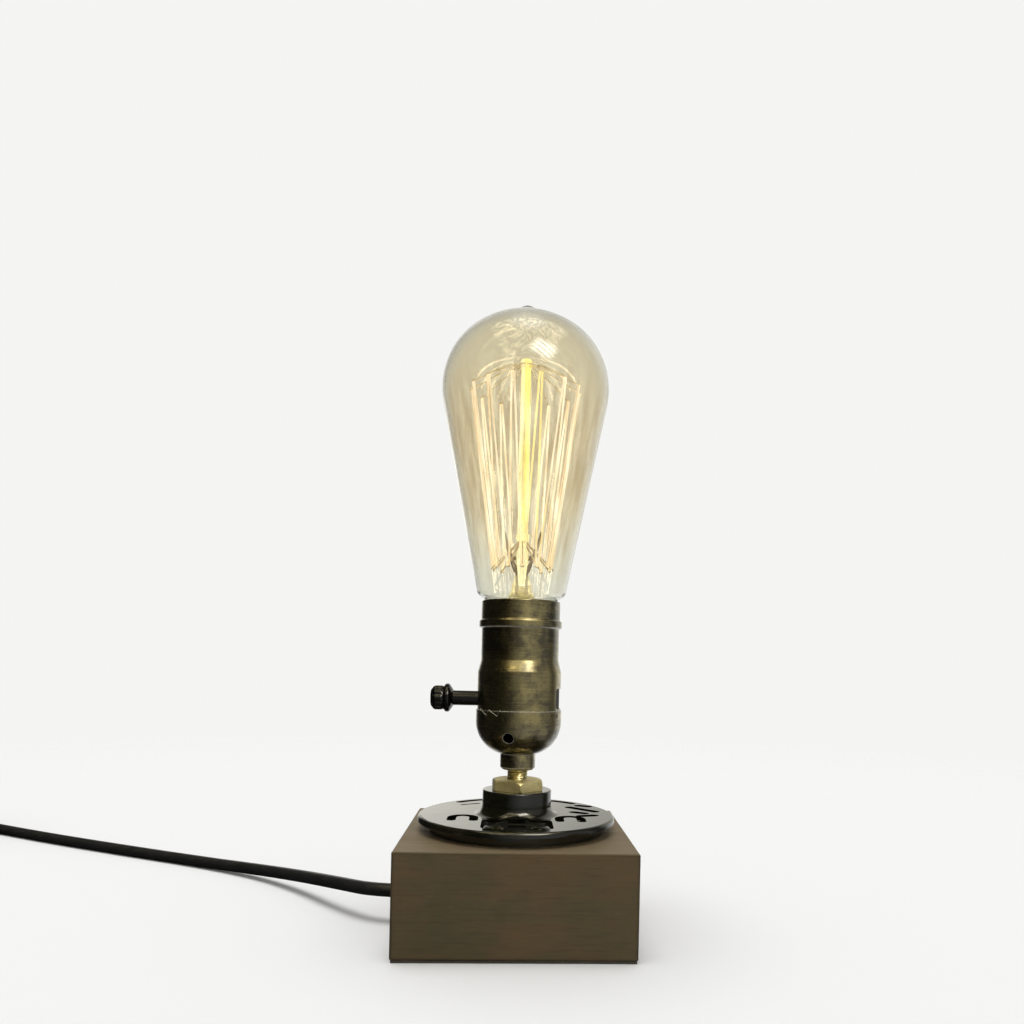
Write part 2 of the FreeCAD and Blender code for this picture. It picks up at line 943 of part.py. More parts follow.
def in_plane(angle, length):
    """A step in the plane of the bulb's outline."""
    return V(length * math.cos(angle), 0, length * math.sin(angle))


def glass_body(inset):
    """The bulb's outer shape, drawn smaller by an inset."""
    angle = math.radians(cone_angle)
    centre = dome_centre()
    dome = dome_radius - inset
    rise = dome_height - inset
    side_centre = V(dome_radius - dome_side_radius, 0, centre)
    crown_centre = V(0, 0, centre + dome_height - crown_radius())
    outwards = (side_centre - crown_centre).normalize()
    steep = math.atan2(outwards.z, outwards.x)
    foot = cone_foot_radius(glass_foot_height) - inset / math.cos(angle)
    touch = V(dome * math.cos(angle), 0, centre - dome * math.sin(angle))
    half_way = math.radians(-cone_angle / 2.0)
    side = V(dome * math.cos(half_way), 0, centre + dome * math.sin(half_way))
    widest = V(dome, 0, centre)
    shoulder = side_centre + outwards * (dome_side_radius - inset)
    half_side = side_centre + in_plane(steep / 2.0, dome_side_radius - inset)
    half_crown = crown_centre + in_plane((steep + math.pi / 2.0) / 2.0, crown_radius() - inset)
    crown = V(0, 0, centre + rise)
    neck = glass_neck_radius - inset
    low = glass_neck_low - 0.01 * (inset > 0)
    spread = V(foot, 0, glass_foot_height + inset * 0.3)
    gather = V(neck, 0, glass_neck_high + inset * 0.3)
    along_cone = (touch - spread).normalize()
    towards_neck = (gather - spread).normalize()
    reach = min(glass_foot_round * 0.6, 0.45 * (gather - spread).Length)
    cone_start = spread + along_cone * reach
    foot_start = spread + towards_neck * reach
    blend = spread + (along_cone + towards_neck).normalize() * (reach * 0.42)
    edges = [
        Part.makeLine(V(0, 0, low), V(neck, 0, low)),
        Part.makeLine(V(neck, 0, low), gather),
        Part.makeLine(gather, foot_start),
        Part.Arc(foot_start, blend, cone_start).toShape(),
        Part.makeLine(cone_start, touch),
        Part.Arc(touch, side, widest).toShape(),
        Part.Arc(widest, half_side, shoulder).toShape(),
        Part.Arc(shoulder, half_crown, crown).toShape(),
        Part.makeLine(crown, V(0, 0, low)),
    ]
    solid = Part.Face(Part.Wire(edges)).revolve(CENTRE, UP, 360)
    solid.translate(V(0, 0, bulb_bottom))
    return solid


def bulb_glass():
    glass = glass_body(0.0).cut(glass_body(glass_wall))
    top = bulb_bottom + bulb_length
    crown = top - tip_height
    tip = turned(
        (0, crown - glass_wall / 2.0),
        (tip_spread, crown - glass_wall / 2.0),
        (tip_spread, crown - glass_wall / 3.0),
        (tip_radius, crown + tip_height * 0.35, 1.5),
        (tip_radius, top, 1.8),
        (0, top),
    )
    return glass.fuse(tip)


def bulb_base():
    outer = bulb_base_radius
    inner = outer - bulb_base_wall
    low = bulb_bottom + bulb_base_low
    high = bulb_bottom + bulb_base_high
    body = turned(
        (insulator_radius + seat_gap, low),
        (outer - 1.4, low + 0.5, 0.8),
        (outer, low + 2.0, 0.8),
        (outer, high),
        (inner, high),
        (inner, low + 2.3, 0.6),
        (outer - 1.5, low + 0.9, 0.6),
        (insulator_radius + seat_gap, low + 0.4),
    )
    return body


def bulb_insulator():
    low = bulb_bottom + bulb_contact_height * 0.6
    high = bulb_bottom + bulb_base_low + 1.6
    return turned(
        (bulb_contact_radius + seat_gap, low),
        (bulb_contact_radius + 0.9, low),
        (insulator_radius, bulb_bottom + bulb_base_low - 0.2),
        (insulator_radius, high),
        (0, high),
        (0, bulb_bottom + bulb_contact_height + seat_gap),
        (bulb_contact_radius + seat_gap, bulb_bottom + bulb_contact_height + seat_gap),
    )


def bulb_contact():
    return turned(
        (0, bulb_bottom),
        (bulb_contact_radius, bulb_bottom, 0.5),
        (bulb_contact_radius, bulb_bottom + bulb_contact_height),
        (0, bulb_bottom + bulb_contact_height),
    )


def stem_hub(height):
    """Centre of one of the two glass buttons on the rod."""
    return V(0, 0, bulb_bottom + height)


def bulb_stem():
    foot = bulb_bottom + stem_foot_height
    foot_radius_outer = glass_neck_radius - glass_wall - stem_seal_gap
    press = bulb_bottom + stem_press_height
    flare = turned(
        (0, foot - 5.5),
        (foot_radius_outer, foot - 5.5),
        (foot_radius_outer * 0.5, foot + 2.0, 3.0),
        (stem_press_width * 0.62, foot + 9.0, 3.0),
        (stem_press_width * 0.5, press - 9.0),
        (0, press - 9.0),
    )
    half_width = stem_press_width / 2.0
    half_thickness = stem_press_thickness / 2.0
    blade = box(
        (-half_width, -half_thickness, foot + 6.0),
        (half_width, half_thickness, press),
    )
    middle = drum(rod_radius, press - 1, bulb_bottom + rod_top)
    lower_button = Part.makeSphere(button_radius, stem_hub(lower_button_height))
    upper_button = Part.makeSphere(button_radius, stem_hub(rod_top))
    return flare.fuse([blade, middle, lower_button, upper_button])


def cage_top(i):
    """A bend at the top of the cage, half a step on from the bend below it."""
    azimuth = cage_open_azimuth + 360.0 / cage_hooks * (i + 1.0)
    return at_azimuth(azimuth, cage_top_radius, bulb_bottom + cage_top_height)


def cage_bottom(i):
    """A bend at the bottom of the cage; the first and last are the filament's ends."""
    azimuth = cage_open_azimuth + 360.0 / cage_hooks * (i + 0.5)
    return at_azimuth(azimuth, cage_bottom_radius, bulb_bottom + cage_bottom_height)


def bend_radius():
    return filament_radius * 1.6


def filament():
    """One wire up and down the cage, open at the back between its two leads."""
    pieces = []
    for i in range(cage_hooks - 1):
        pieces.append(rod(cage_bottom(i), cage_top(i), filament_radius))
        pieces.append(rod(cage_top(i), cage_bottom(i + 1), filament_radius))
        pieces.append(Part.makeSphere(bend_radius(), cage_top(i)))
    for i in range(1, cage_hooks - 1):
        pieces.append(Part.makeSphere(bend_radius(), cage_bottom(i)))
    return pieces[0].fuse(pieces[1:])


def spoke(hub, tip):
    """A support from a glass button to just short of a bend."""
    out = (tip - hub).normalize()
    start = hub + out * (button_radius + seat_gap)
    end = tip - out * (bend_radius() + hook_gap)
    return rod(start, end, hook_radius)


def filament_supports():
    top = stem_hub(rod_top)
    low = stem_hub(lower_button_height)
    spokes = [spoke(top, cage_top(i)) for i in range(cage_hooks - 1)]
    spokes += [spoke(low, cage_bottom(i)) for i in range(1, cage_hooks - 1)]
    return spokes


def lead_wires():
    """Two wires from the sides of the pressed stem to the filament's ends."""
    wires = []
    height = bulb_bottom + stem_press_height - 5.0
    for side, tip in ((-1, cage_bottom(0)), (1, cage_bottom(cage_hooks - 1))):
        start = V(side * (stem_press_width / 2.0 + 0.02), 0, height)
        bend = V(side * (stem_press_width / 2.0 + 2.4), 0, height)
        out = tip - bend
        end = bend + V(out).normalize() * (out.Length - lead_radius - filament_radius)
        knee = Part.makeSphere(lead_radius, bend)
        wires.append(rod(start, bend, lead_radius).fuse([knee, rod(bend, end, lead_radius)]))
    return wires


# Cord, grommet, coil and plug


def cord_grommet():
    half = block_side / 2.0
    inner = cord_radius + grommet_gap
    outer = inner + grommet_wall
    grommet = turned(
        (inner, half - grommet_length),
        (outer, half - grommet_length),
        (outer, half),
        (grommet_flange, half),
        (grommet_flange, half + grommet_flange_thickness, 0.5),
        (inner, half + grommet_flange_thickness),
    )
    grommet.rotate(CENTRE, V(0, 1, 0), -90)
    grommet.translate(V(0, 0, cord_hole_height))
    return grommet


def cord():
    return tube_along(cord_route, cord_radius, "cord")


def arrival():
    """Direction in which the cord reaches its coil."""
    return (V(*cord_route[-1]) - V(*cord_route[-2])).normalize()


def coil_centre():
    outer_turn = coil_middle_radius + coil_width / 2.0 - cord_radius
    heading = arrival()
    touch = V(*cord_route[-1]) + heading * coil_lead_in
    inwards = V(-heading.y, heading.x, 0)
    centre = touch + inwards * outer_turn
    return V(centre.x, centre.y, 0)


def coil_section(margin):
    """Outline of the coil's section, smaller by a margin."""
    low = coil_middle_radius - coil_width / 2.0 + margin
    high = coil_middle_radius + coil_width / 2.0 - margin
    return Part.makePolygon([
        V(low, 0, margin),
        V(high, 0, margin),
        V(high, 0, coil_height - margin),
        V(low, 0, coil_height - margin),
        V(low, 0, margin),
    ])


def coil_band(margin, azimuth, angle):
    """A stretch of the coil's section, turned about the coil's own axis."""
    band = Part.Face(coil_section(margin)).revolve(CENTRE, UP, angle)
    band.rotate(CENTRE, UP, azimuth)
    return band


def lead_out_ends():
    """Where the last turn leaves the coil and where it meets the plug, from the coil's axis."""
    outer_turn = coil_middle_radius + coil_width / 2.0 - cord_radius
    start = at_azimuth(coil_lead_out_azimuth, outer_turn, plug_height / 2.0)
    heading = at_azimuth(coil_lead_out_azimuth + 90, 1.0)
    return start, start + heading * coil_lead_out_length


def tie_skin(grow):
    """The strap's own wall, grown by a gap on its inner side and its two edges."""
    sweep = tie_angle + 2.0 * math.degrees(grow / coil_middle_radius)
    start = tie_azimuth - sweep / 2.0
    outer = coil_band(0.0, start, sweep)
    return outer.cut(coil_band(tie_thickness + grow, start - 1, sweep + 2))


def cord_coil():
    coil = coil_band(0.0, 0.0, 360)
    coil = coil.cut(tie_skin(tie_gap))
    centre = coil_centre()
    coil.translate(centre)
    heading = arrival()
    begin = V(*cord_route[-1])
    lead_in = rod(begin, begin + heading * (coil_lead_in + 2.0), cord_radius)
    start, end = lead_out_ends()
    lead_out = rod(start + centre, end + centre, cord_radius)
    return coil.fuse([lead_in, lead_out])


def cord_tie():
    tie = tie_skin(0.0)
    tie.translate(coil_centre())
    return tie


def plug_frame(shape):
    """Moves a shape drawn along +X from the cord's end to where the plug lies."""
    start, end = lead_out_ends()
    heading = end - start
    azimuth = math.degrees(math.atan2(heading.y, heading.x))
    shape.rotate(CENTRE, UP, azimuth)
    shape.translate(end + coil_centre())
    return shape


def blade_slots(gap):
    blades = []
    for side in (-1, 1):
        middle = side * blade_spacing / 2.0
        low = V(plug_sleeve_length + plug_length - 6.0, middle - blade_thickness / 2.0 - gap, 0)
        high = V(
            plug_sleeve_length + plug_length + blade_length,
            middle + blade_thickness / 2.0 + gap,
            0,
        )
        low.z = -blade_height / 2.0 - gap
        high.z = blade_height / 2.0 + gap
        blades.append(box(low, high))
    return blades


def plug_body():
    half_width = plug_width / 2.0
    half_height = plug_height / 2.0
    low = V(plug_sleeve_length, -half_width, -half_height)
    high = V(plug_sleeve_length + plug_length, half_width, half_height)
    body = box(low, high)
    lengthwise = [e for e in body.Edges if abs(e.tangentAt(e.FirstParameter).x) > 0.99]
    body = body.makeFillet(plug_round, lengthwise)
    sleeve = Part.makeCone(
        plug_sleeve_tip, plug_sleeve_radius, plug_sleeve_length + 1, CENTRE, SIDEWAYS
    )
    body = body.fuse(sleeve)
    for blade in blade_slots(seat_gap):
        body = body.cut(blade)
    return plug_frame(body)


def plug_blades():
    blades = []
    for blade in blade_slots(0.0):
        upright = [
            e for e in blade.Edges
            if abs(e.tangentAt(e.FirstParameter).y) > 0.99 and e.CenterOfMass.x > plug_sleeve_length
            + plug_length
        ]
        blades.append(plug_frame(blade.makeChamfer(1.2, upright)))
    return blades


os.makedirs("parts", exist_ok=True)
keep("base_block", base_block())
keep("base_felt", base_felt())
keep("flange_plate", flange_plate())
keep("flange_screws", flange_screws())
keep("lamp_nipple", lamp_nipple())
keep("hex_nut", hex_nut())
keep("nipple_washer", nipple_washer())
keep("nipple_nut", nipple_nut())
keep("socket_cap", socket_cap())
keep("cap_set_screw", cap_set_screw())
keep("socket_shell", socket_shell())
keep("shell_liner", shell_liner())
keep("switch_body", switch_body())
keep("terminal_screws", terminal_screws())
keep("screw_shell", screw_shell())
keep("centre_contact", centre_contact())
keep("switch_stem", switch_stem())
keep("switch_knob", switch_knob())
keep("switch_cam", switch_cam())
keep("wire_live", wire(-1))
keep("wire_neutral", wire(1))
keep("bulb_glass", bulb_glass())
keep("bulb_base", bulb_base())
keep("bulb_insulator", bulb_insulator())
keep("bulb_contact", bulb_contact())
keep("bulb_stem", bulb_stem())
keep("filament", filament())
keep("filament_supports", filament_supports())
keep("lead_wires", lead_wires())
keep("cord_grommet", cord_grommet())
keep("cord", cord())
keep("cord_coil", cord_coil())
keep("cord_tie", cord_tie())
keep("plug_body", plug_body())
keep("plug_blades", plug_blades())
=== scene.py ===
import math

import bmesh
import bpy
from mathutils import Matrix, Vector


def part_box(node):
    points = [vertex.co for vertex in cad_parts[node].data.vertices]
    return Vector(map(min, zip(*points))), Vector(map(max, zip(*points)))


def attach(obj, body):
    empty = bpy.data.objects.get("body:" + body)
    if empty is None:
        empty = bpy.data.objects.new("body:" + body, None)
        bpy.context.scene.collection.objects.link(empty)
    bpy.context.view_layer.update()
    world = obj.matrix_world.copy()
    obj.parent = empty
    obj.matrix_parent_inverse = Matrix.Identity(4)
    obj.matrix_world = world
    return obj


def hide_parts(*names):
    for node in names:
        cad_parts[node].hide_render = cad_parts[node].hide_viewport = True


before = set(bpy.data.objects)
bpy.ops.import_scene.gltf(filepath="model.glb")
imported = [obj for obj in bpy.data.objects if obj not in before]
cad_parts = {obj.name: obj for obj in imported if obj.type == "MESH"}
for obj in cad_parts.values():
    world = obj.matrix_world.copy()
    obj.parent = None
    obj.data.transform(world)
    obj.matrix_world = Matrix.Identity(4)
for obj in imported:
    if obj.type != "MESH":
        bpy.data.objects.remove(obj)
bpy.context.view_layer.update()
mm = 0.001
up = Vector((0.0, 0.0, 1.0))


# Node trees, for finishes and for Geometry Nodes alike


class Link:
    # one output of a node, which can be used in sums like a number
    def __init__(self, tree, socket):
        self.tree = tree
        self.socket = socket

    def also(self, name):
        return Link(self.tree, self.socket.node.outputs[name])

    def maths(self, operation, *others):
        return self.tree.maths(operation, self, *others)

    def __add__(self, other):
        return self.maths("ADD", other)

    def __radd__(self, other):
        return self.tree.maths("ADD", other, self)

    def __sub__(self, other):
        return self.maths("SUBTRACT", other)

    def __rsub__(self, other):
        return self.tree.maths("SUBTRACT", other, self)

    def __mul__(self, other):
        return self.maths("MULTIPLY", other)

    def __rmul__(self, other):
        return self.tree.maths("MULTIPLY", other, self)

    def __truediv__(self, other):
        return self.maths("DIVIDE", other)

    def __mod__(self, other):
        return self.maths("MODULO", other)


class Tree:
    def __init__(self, tree):
        self.tree = tree
        tree.nodes.clear()

    def node(self, kind, inputs=None, settings=None, output=0):
        made = self.tree.nodes.new(kind)
        for key, value in (settings or {}).items():
            setattr(made, key, value)
        for key, value in (inputs or {}).items():
            if isinstance(value, Link):
                self.tree.links.new(value.socket, made.inputs[key])
            else:
                made.inputs[key].default_value = value
        return Link(self, made.outputs[output]) if made.outputs else None

    def maths(self, operation, *values):
        return self.node("ShaderNodeMath", dict(enumerate(values)), {"operation": operation})

    def vector(self, operation, *values, output=0):
        return self.node("ShaderNodeVectorMath", dict(enumerate(values)), {"operation": operation}, output)

    def joined(self, x, y, z):
        return self.node("ShaderNodeCombineXYZ", {0: x, 1: y, 2: z})

    def apart(self, vector):
        x = self.node("ShaderNodeSeparateXYZ", {0: vector})
        return x, x.also("Y"), x.also("Z")

    def between(self, value, low, high, to=(0.0, 1.0), how="LINEAR"):
        inputs = {0: value, 1: low, 2: high, 3: to[0], 4: to[1]}
        return self.node("ShaderNodeMapRange", inputs, {"interpolation_type": how})

    def smooth(self, value, low, high, to=(0.0, 1.0)):
        return self.between(value, low, high, to, "SMOOTHSTEP")


class Finish(Tree):
    # a material with the node patterns that several finishes share
    def __init__(self, name):
        self.material = bpy.data.materials.new(name)
        self.material.use_nodes = True
        super().__init__(self.material.node_tree)
        self.place = self.node("ShaderNodeTexCoord").also("Object")

    def noise(self, scale, detail, rough, stretch=None, warp=0.0):
        place = self.place
        if stretch:
            place = self.node("ShaderNodeMapping", {"Vector": place, "Scale": stretch})
        inputs = {"Vector": place, "Scale": scale, "Detail": detail, "Roughness": rough, "Distortion": warp}
        return self.node("ShaderNodeTexNoise", inputs)

    def blend(self, mask, first, second):
        first, second = [c if isinstance(c, Link) else (*c, 1.0)[:4] for c in (first, second)]
        return self.node("ShaderNodeMix", {0: mask, 6: first, 7: second}, {"data_type": "RGBA"}, 2)

    def worn(self):
        return self.node("ShaderNodeAttribute", None, {"attribute_name": "worn"}).also("Fac")

    def relief(self, height, depth, strength=1.0):
        return self.node("ShaderNodeBump", {"Height": height, "Distance": depth, "Strength": strength})

    def surface(self, inputs):
        for key, value in inputs.items():
            if isinstance(value, tuple) and len(value) == 3:
                inputs[key] = (*value, 1.0)
        shader = self.node("ShaderNodeBsdfPrincipled", inputs)
        self.node("ShaderNodeOutputMaterial", {"Surface": shader})
        return self.material


# Meshes


def linked(name, data):
    thing = bpy.data.objects.new(name, data)
    bpy.context.scene.collection.objects.link(thing)
    return thing


def atAzimuth(degrees, radius, height=0.0):
    angle = math.radians(degrees)
    return Vector((radius * math.cos(angle), radius * math.sin(angle), height))


def closedSkin(bm, name, sharpAbove=38.0):
    # merges doubles, turns the faces outwards and shades all but the sharp edges smooth
    bmesh.ops.remove_doubles(bm, verts=bm.verts, dist=1e-7)
    bmesh.ops.dissolve_degenerate(bm, edges=bm.edges, dist=1e-7)
    bmesh.ops.recalc_face_normals(bm, faces=bm.faces)
    mesh = bpy.data.meshes.new(name)
    bm.to_mesh(mesh)
    bm.free()
    mesh.shade_smooth()
    mesh.set_sharp_from_angle(angle=math.radians(sharpAbove))
    return linked(name, mesh)


def baked(piece):
    # a plain mesh piece in place of one with modifiers, or of a curve
    name = piece.name
    seen = piece.evaluated_get(bpy.context.evaluated_depsgraph_get())
    mesh = bpy.data.meshes.new_from_object(seen)
    bpy.data.objects.remove(piece)
    return linked(name, mesh)


def softened(corners, steps=6):
    # rounds the corners (radius, height, round) of an outline
    points = [Vector(corner[:2]) for corner in corners]
    outline = []
    for i, here in enumerate(points):
        radius = corners[i][2] if len(corners[i]) > 2 else 0.0
        if radius <= 0.0:
            outline.append(here)
            continue
        back = points[i - 1] - here
        onward = points[(i + 1) % len(points)] - here
        half = back.angle(onward) / 2.0
        reach = min(radius / math.tan(half), 0.49 * min(back.length, onward.length))
        radius = reach * math.tan(half)
        start = here + back.normalized() * reach
        end = here + onward.normalized() * reach
        middle = here + (back.normalized() + onward.normalized()).normalized() * (radius / math.sin(half))
        for k in range(steps + 1):
            spoke = (start - middle).lerp(end - middle, k / steps).normalized()
            outline.append(middle + spoke * radius)
    return outline


def turnedMesh(outline, steps=128, shaped=None):
    # turns an outline (radius, height) in millimetres about the lamp's axis; shaped may change each point
    bm = bmesh.new()
    rings = []
    for radius, height in outline:
        count = steps if radius > 1e-6 else 1
        ring = []
        for k in range(count):
            azimuth = 360.0 * k / steps
            here = shaped(radius, height, azimuth) if shaped else (radius, height)
            ring.append(bm.verts.new(atAzimuth(azimuth, *here) * mm))
        rings.append(ring)
    for low, high in zip(rings, rings[1:] + rings[:1]):
        if len(low) == 1 and len(high) == 1:
            continue
        for k in range(steps):
            corners = [low[k % len(low)], low[(k + 1) % len(low)]]
            corners += [high[(k + 1) % len(high)], high[k % len(high)]]
            bm.faces.new(list(dict.fromkeys(corners)))
    return bm


def turnedPiece(name, corners, steps=128, shaped=None, sharpAbove=38.0):
    return closedSkin(turnedMesh(softened(corners), steps, shaped), name, sharpAbove)


def moved(piece, matrix):
    piece.data.transform(matrix)
    return piece


def eased(piece, width, steps, sharpAbove):
    ease = piece.modifiers.new("eased edges", "BEVEL")
    ease.width = width * mm
    ease.segments = steps
    ease.limit_method = "ANGLE"
    ease.angle_limit = math.radians(sharpAbove)
    return ease


def skinOf(node, name, edge, steps, sharpAbove, clamped):
    # a merged copy of a CAD node's mesh with its edges eased; an attribute marks the eased faces, which the
    # brass and enamel finishes paint paler, partly as painted highlight lines
    bm = bmesh.new()
    bm.from_mesh(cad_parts[node].data)
    bmesh.ops.remove_doubles(bm, verts=bm.verts, dist=0.03 * mm)
    bmesh.ops.dissolve_limit(bm, angle_limit=math.radians(0.5), verts=bm.verts, edges=bm.edges)
    piece = closedSkin(bm, name, sharpAbove)
    piece.data.materials.clear()
    for slot in ("face", "edge"):
        piece.data.materials.append(bpy.data.materials.new(slot))
    piece.data.set_sharp_from_angle(angle=math.radians(180.0))
    ease = eased(piece, edge, steps, sharpAbove)
    ease.material = 1
    ease.use_clamp_overlap = clamped
    even = piece.modifiers.new("even normals", "WEIGHTED_NORMAL")
    even.keep_sharp = True
    even.weight = 80
    piece = baked(piece)
    worn = piece.data.attributes.new("worn", "FLOAT", "FACE")
    for face in piece.data.polygons:
        worn.data[face.index].value = float(face.material_index)
        face.material_index = 0
    return piece


def curveAlong(name, points, radius, roundness, steps):
    # one open spline with control points in millimetres, as thick as a wire or cord
    curve = bpy.data.curves.new(name, "CURVE")
    curve.dimensions = "3D"
    curve.bevel_depth = radius * mm
    curve.bevel_resolution = roundness
    curve.use_fill_caps = True
    curve.resolution_u = steps
    spline = curve.splines.new("NURBS")
    spline.points.add(len(points) - 1)
    for place, point in zip(spline.points, points):
        place.co = (*(Vector(point) * mm), 1.0)
    spline.order_u = 3
    spline.use_endpoint_u = True
    return linked(name, curve)


def tubeAlong(name, points, radius):
    return baked(curveAlong(name, points, radius, 1, 6))


def joinedPieces(name, pieces):
    # one mesh from several pieces
    bm = bmesh.new()
    for piece in pieces:
        bm.from_mesh(piece.data)
        bpy.data.objects.remove(piece)
    return closedSkin(bm, name)


def grown(name, sizes, build, material):
    # makes a piece with Geometry Nodes from named sizes, and keeps the mesh alone
    group = bpy.data.node_groups.new(name, "GeometryNodeTree")
    sockets = {}
    for size, value in sizes.items():
        kind = "NodeSocketInt" if isinstance(value, int) else "NodeSocketFloat"
        sockets[size] = group.interface.new_socket(size, in_out="INPUT", socket_type=kind).identifier
    group.interface.new_socket("Geometry", in_out="OUTPUT", socket_type="NodeSocketGeometry")
    tree = Tree(group)
    entry = tree.node("NodeGroupInput")
    made = build(tree, {size: entry.also(size) for size in sizes})
    whole = tree.node("GeometryNodeRealizeInstances", {0: made})
    finished = tree.node("GeometryNodeSetMaterial", {"Geometry": whole, "Material": material})
    tree.node("NodeGroupOutput", {0: finished})
    host = linked(name, bpy.data.meshes.new(name))
    grow = host.modifiers.new(name, "NODES")
    grow.node_group = group
    for size, value in sizes.items():
        grow[sockets[size]] = value
    return baked(host)


def ringTree(source):
    # copies of one piece, each turned a step further about the lamp's axis
    def build(tree, size):
        points = tree.node("GeometryNodeMeshLine", {"Count": size["copies"], "Offset": (0.0, 0.0, 0.0)})
        number = tree.node("GeometryNodeInputIndex")
        turn = tree.joined(0.0, 0.0, (number * size["step"] + size["first"]) * math.radians(1.0))
        copy = tree.node("GeometryNodeObjectInfo", {"Object": source}, output="Geometry")
        inputs = {"Points": points, "Instance": copy, "Rotation": turn}
        return tree.node("GeometryNodeInstanceOnPoints", inputs)
    return build


def rowTree(source):
    # copies of one piece in a straight row
    def build(tree, size):
        inputs = {
            "Count": size["copies"],
            "Start Location": tree.joined(size["startX"], size["startY"], size["startZ"]),
            "Offset": tree.joined(size["stepX"], size["stepY"], size["stepZ"]),
        }
        points = tree.node("GeometryNodeMeshLine", inputs)
        copy = tree.node("GeometryNodeObjectInfo", {"Object": source}, output="Geometry")
        return tree.node("GeometryNodeInstanceOnPoints", {"Points": points, "Instance": copy})
    return build


def row(copies, start, step):
    # the named inputs of a row, from its first place and its step
    names = ("startX", "startY", "startZ", "stepX", "stepY", "stepZ")
    return {"copies": copies, **dict(zip(names, (*start, *step)))}


def repeated(name, source, tree, sizes, material):
    piece = grown(name, sizes, tree(source), material)
    bpy.data.objects.remove(source)
    return piece


def dressed(node, name, slot, material, edge, steps, sharpAbove, clamped=True):
    # an eased skin in place of a CAD node that stands still
    placed(skinOf(node, name, edge, steps, sharpAbove, clamped), "lamp", slot, material, node)


def placed(piece, body, slot, material, *nodes):
    # gives a finished piece its material, hangs it under its body's empty and hides the CAD nodes it stands
    # for
    piece.data.materials.clear()
    piece.data.materials.append(material)
    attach(piece, body)
    if nodes:
        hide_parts(*nodes)
    return piece


def painted(node, material):
    # a new finish for a CAD node that stays
    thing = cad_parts[node]
    if not thing.material_slots:
        thing.data.materials.append(None)
    for place in thing.material_slots:
        place.material = material


# Camera

cameraPlace = {
    "location": (-3.545 * mm, -312.70 * mm, 99.71 * mm),
    "yaw": 2.84,
    "roll": 1.29,
    "lens": 28.29,
    "shift": (-0.0376, 0.1526),
}


def makeCamera(place):
    camera = bpy.data.cameras.new("camera")
    camera.sensor_width = 36.0
    camera.lens = place["lens"]
    camera.shift_x, camera.shift_y = place["shift"]
    camera.clip_start = 0.01
    thing = linked("camera", camera)
    yaw, roll = math.radians(place["yaw"]), math.radians(place["roll"])
    forward = Vector((math.sin(yaw), math.cos(yaw), 0.0))
    side = forward.cross(up)
    right = side * math.cos(roll) + up * math.sin(roll)
    top = up * math.cos(roll) - side * math.sin(roll)
    turn = Matrix((right, top, -forward)).transposed()
    thing.matrix_world = Matrix.Translation(place["location"]) @ turn.to_4x4()
    bpy.context.scene.camera = thing


makeCamera(cameraPlace)


# Background, light and floor

studio = {
    "backdrop": (0.909, 0.909, 0.896), "paper": (0.917, 0.917, 0.905),
    "sky": 0.42,
    "keyStrength": 1.85, "keyFrom": (-0.05, 0.02, 0.99), "keySoftness": 36.0,
    "darkRoom": 0.02,
    "frontLight": 0.56, "frontFrom": (-42.0, 24.0), "frontFall": (30.0, 80.0),
    "frontSide": 0.72, "frontEnd": (84.0, 102.0),
    "ceiling": (0.92, 0.55),
    "rearLight": 0.9, "rearFrom": ((112.0, 130.0), (-146.0, -164.0)),
    "rearHigh": (1.45, 0.75), "rearHighFrom": (0.05, 0.12),
    "rearTop": 0.72, "rearTopFrom": (0.22, 0.30),
    "patchEdge": 0.08,
    "overhead": {"way": (0.24, -0.11, 0.97), "size": (0.30, 0.26), "light": 1.1, "slats": 42.0},
    "lamp": {"way": (0.32, -0.69, 0.65), "size": (0.22, 0.20), "light": 15.0, "slats": 55.0},
    "branches": {"way": (0.03, -0.50, 0.95), "size": (0.62, 0.80), "light": 5.5, "slats": 0.0},
    "floorBounce": 0.45, "floorReach": 0.42, "floorFade": 0.5, "floorRadius": 2.0,
}


def roomShade(tree, x, y, settings):
    # how light the room is round about: dark at the left, a wide light in front and the backdrop behind
    turned = tree.maths("ARCTAN2", x, y * -1.0) * math.degrees(1.0)
    light = settings["frontLight"]
    front = tree.smooth(turned, *settings["frontFrom"])
    front = front * tree.between(turned, *settings["frontFall"], (light, light * settings["frontSide"]))
    front = front * tree.smooth(turned, *settings["frontEnd"], (1.0, 0.15))
    right, left = [tree.smooth(turned, *edges) for edges in settings["rearFrom"]]
    rear = right + left
    return front * (1.0 - rear) + settings["darkRoom"], rear


def lightPatch(tree, way, settings, name):
    # a soft-edged rectangle of light in one direction, behind slats or broken up into curls
    patch = settings[name]
    key = Vector(patch["way"]).normalized()
    across = Vector((0.0, 1.0, 0.0)).cross(key).normalized()
    along = key.cross(across)
    height = tree.vector("DOT_PRODUCT", way, key, output="Value")
    u = tree.vector("DOT_PRODUCT", way, across, output="Value") / height
    v = tree.vector("DOT_PRODUCT", way, along, output="Value") / height
    wide, deep = patch["size"]
    soft = settings["patchEdge"]
    inside = tree.between(u.maths("ABSOLUTE"), wide + soft, wide - soft)
    inside = inside * tree.between(v.maths("ABSOLUTE"), deep + soft, deep - soft)
    inside = inside * tree.between(height, 0.0, 0.05)
    if patch["slats"]:
        wave = (v + u * 0.3) * patch["slats"]
        pattern = tree.between(wave.maths("SINE"), -0.9, -0.2, (0.2, 1.0))
    else:
        inputs = {"Vector": tree.joined(u * 1.5, v, 0.0), "Scale": 2.6, "Detail": 1.0, "Distortion": 1.4}
        curls = tree.node("ShaderNodeTexNoise", inputs)
        outlines = tree.between((curls * 34.0).maths("SINE"), 0.78, 0.92, (0.0, 0.8))
        pattern = outlines + tree.between(curls, 0.50, 0.515, (0.0, 0.45))
    return inside * pattern * patch["light"]


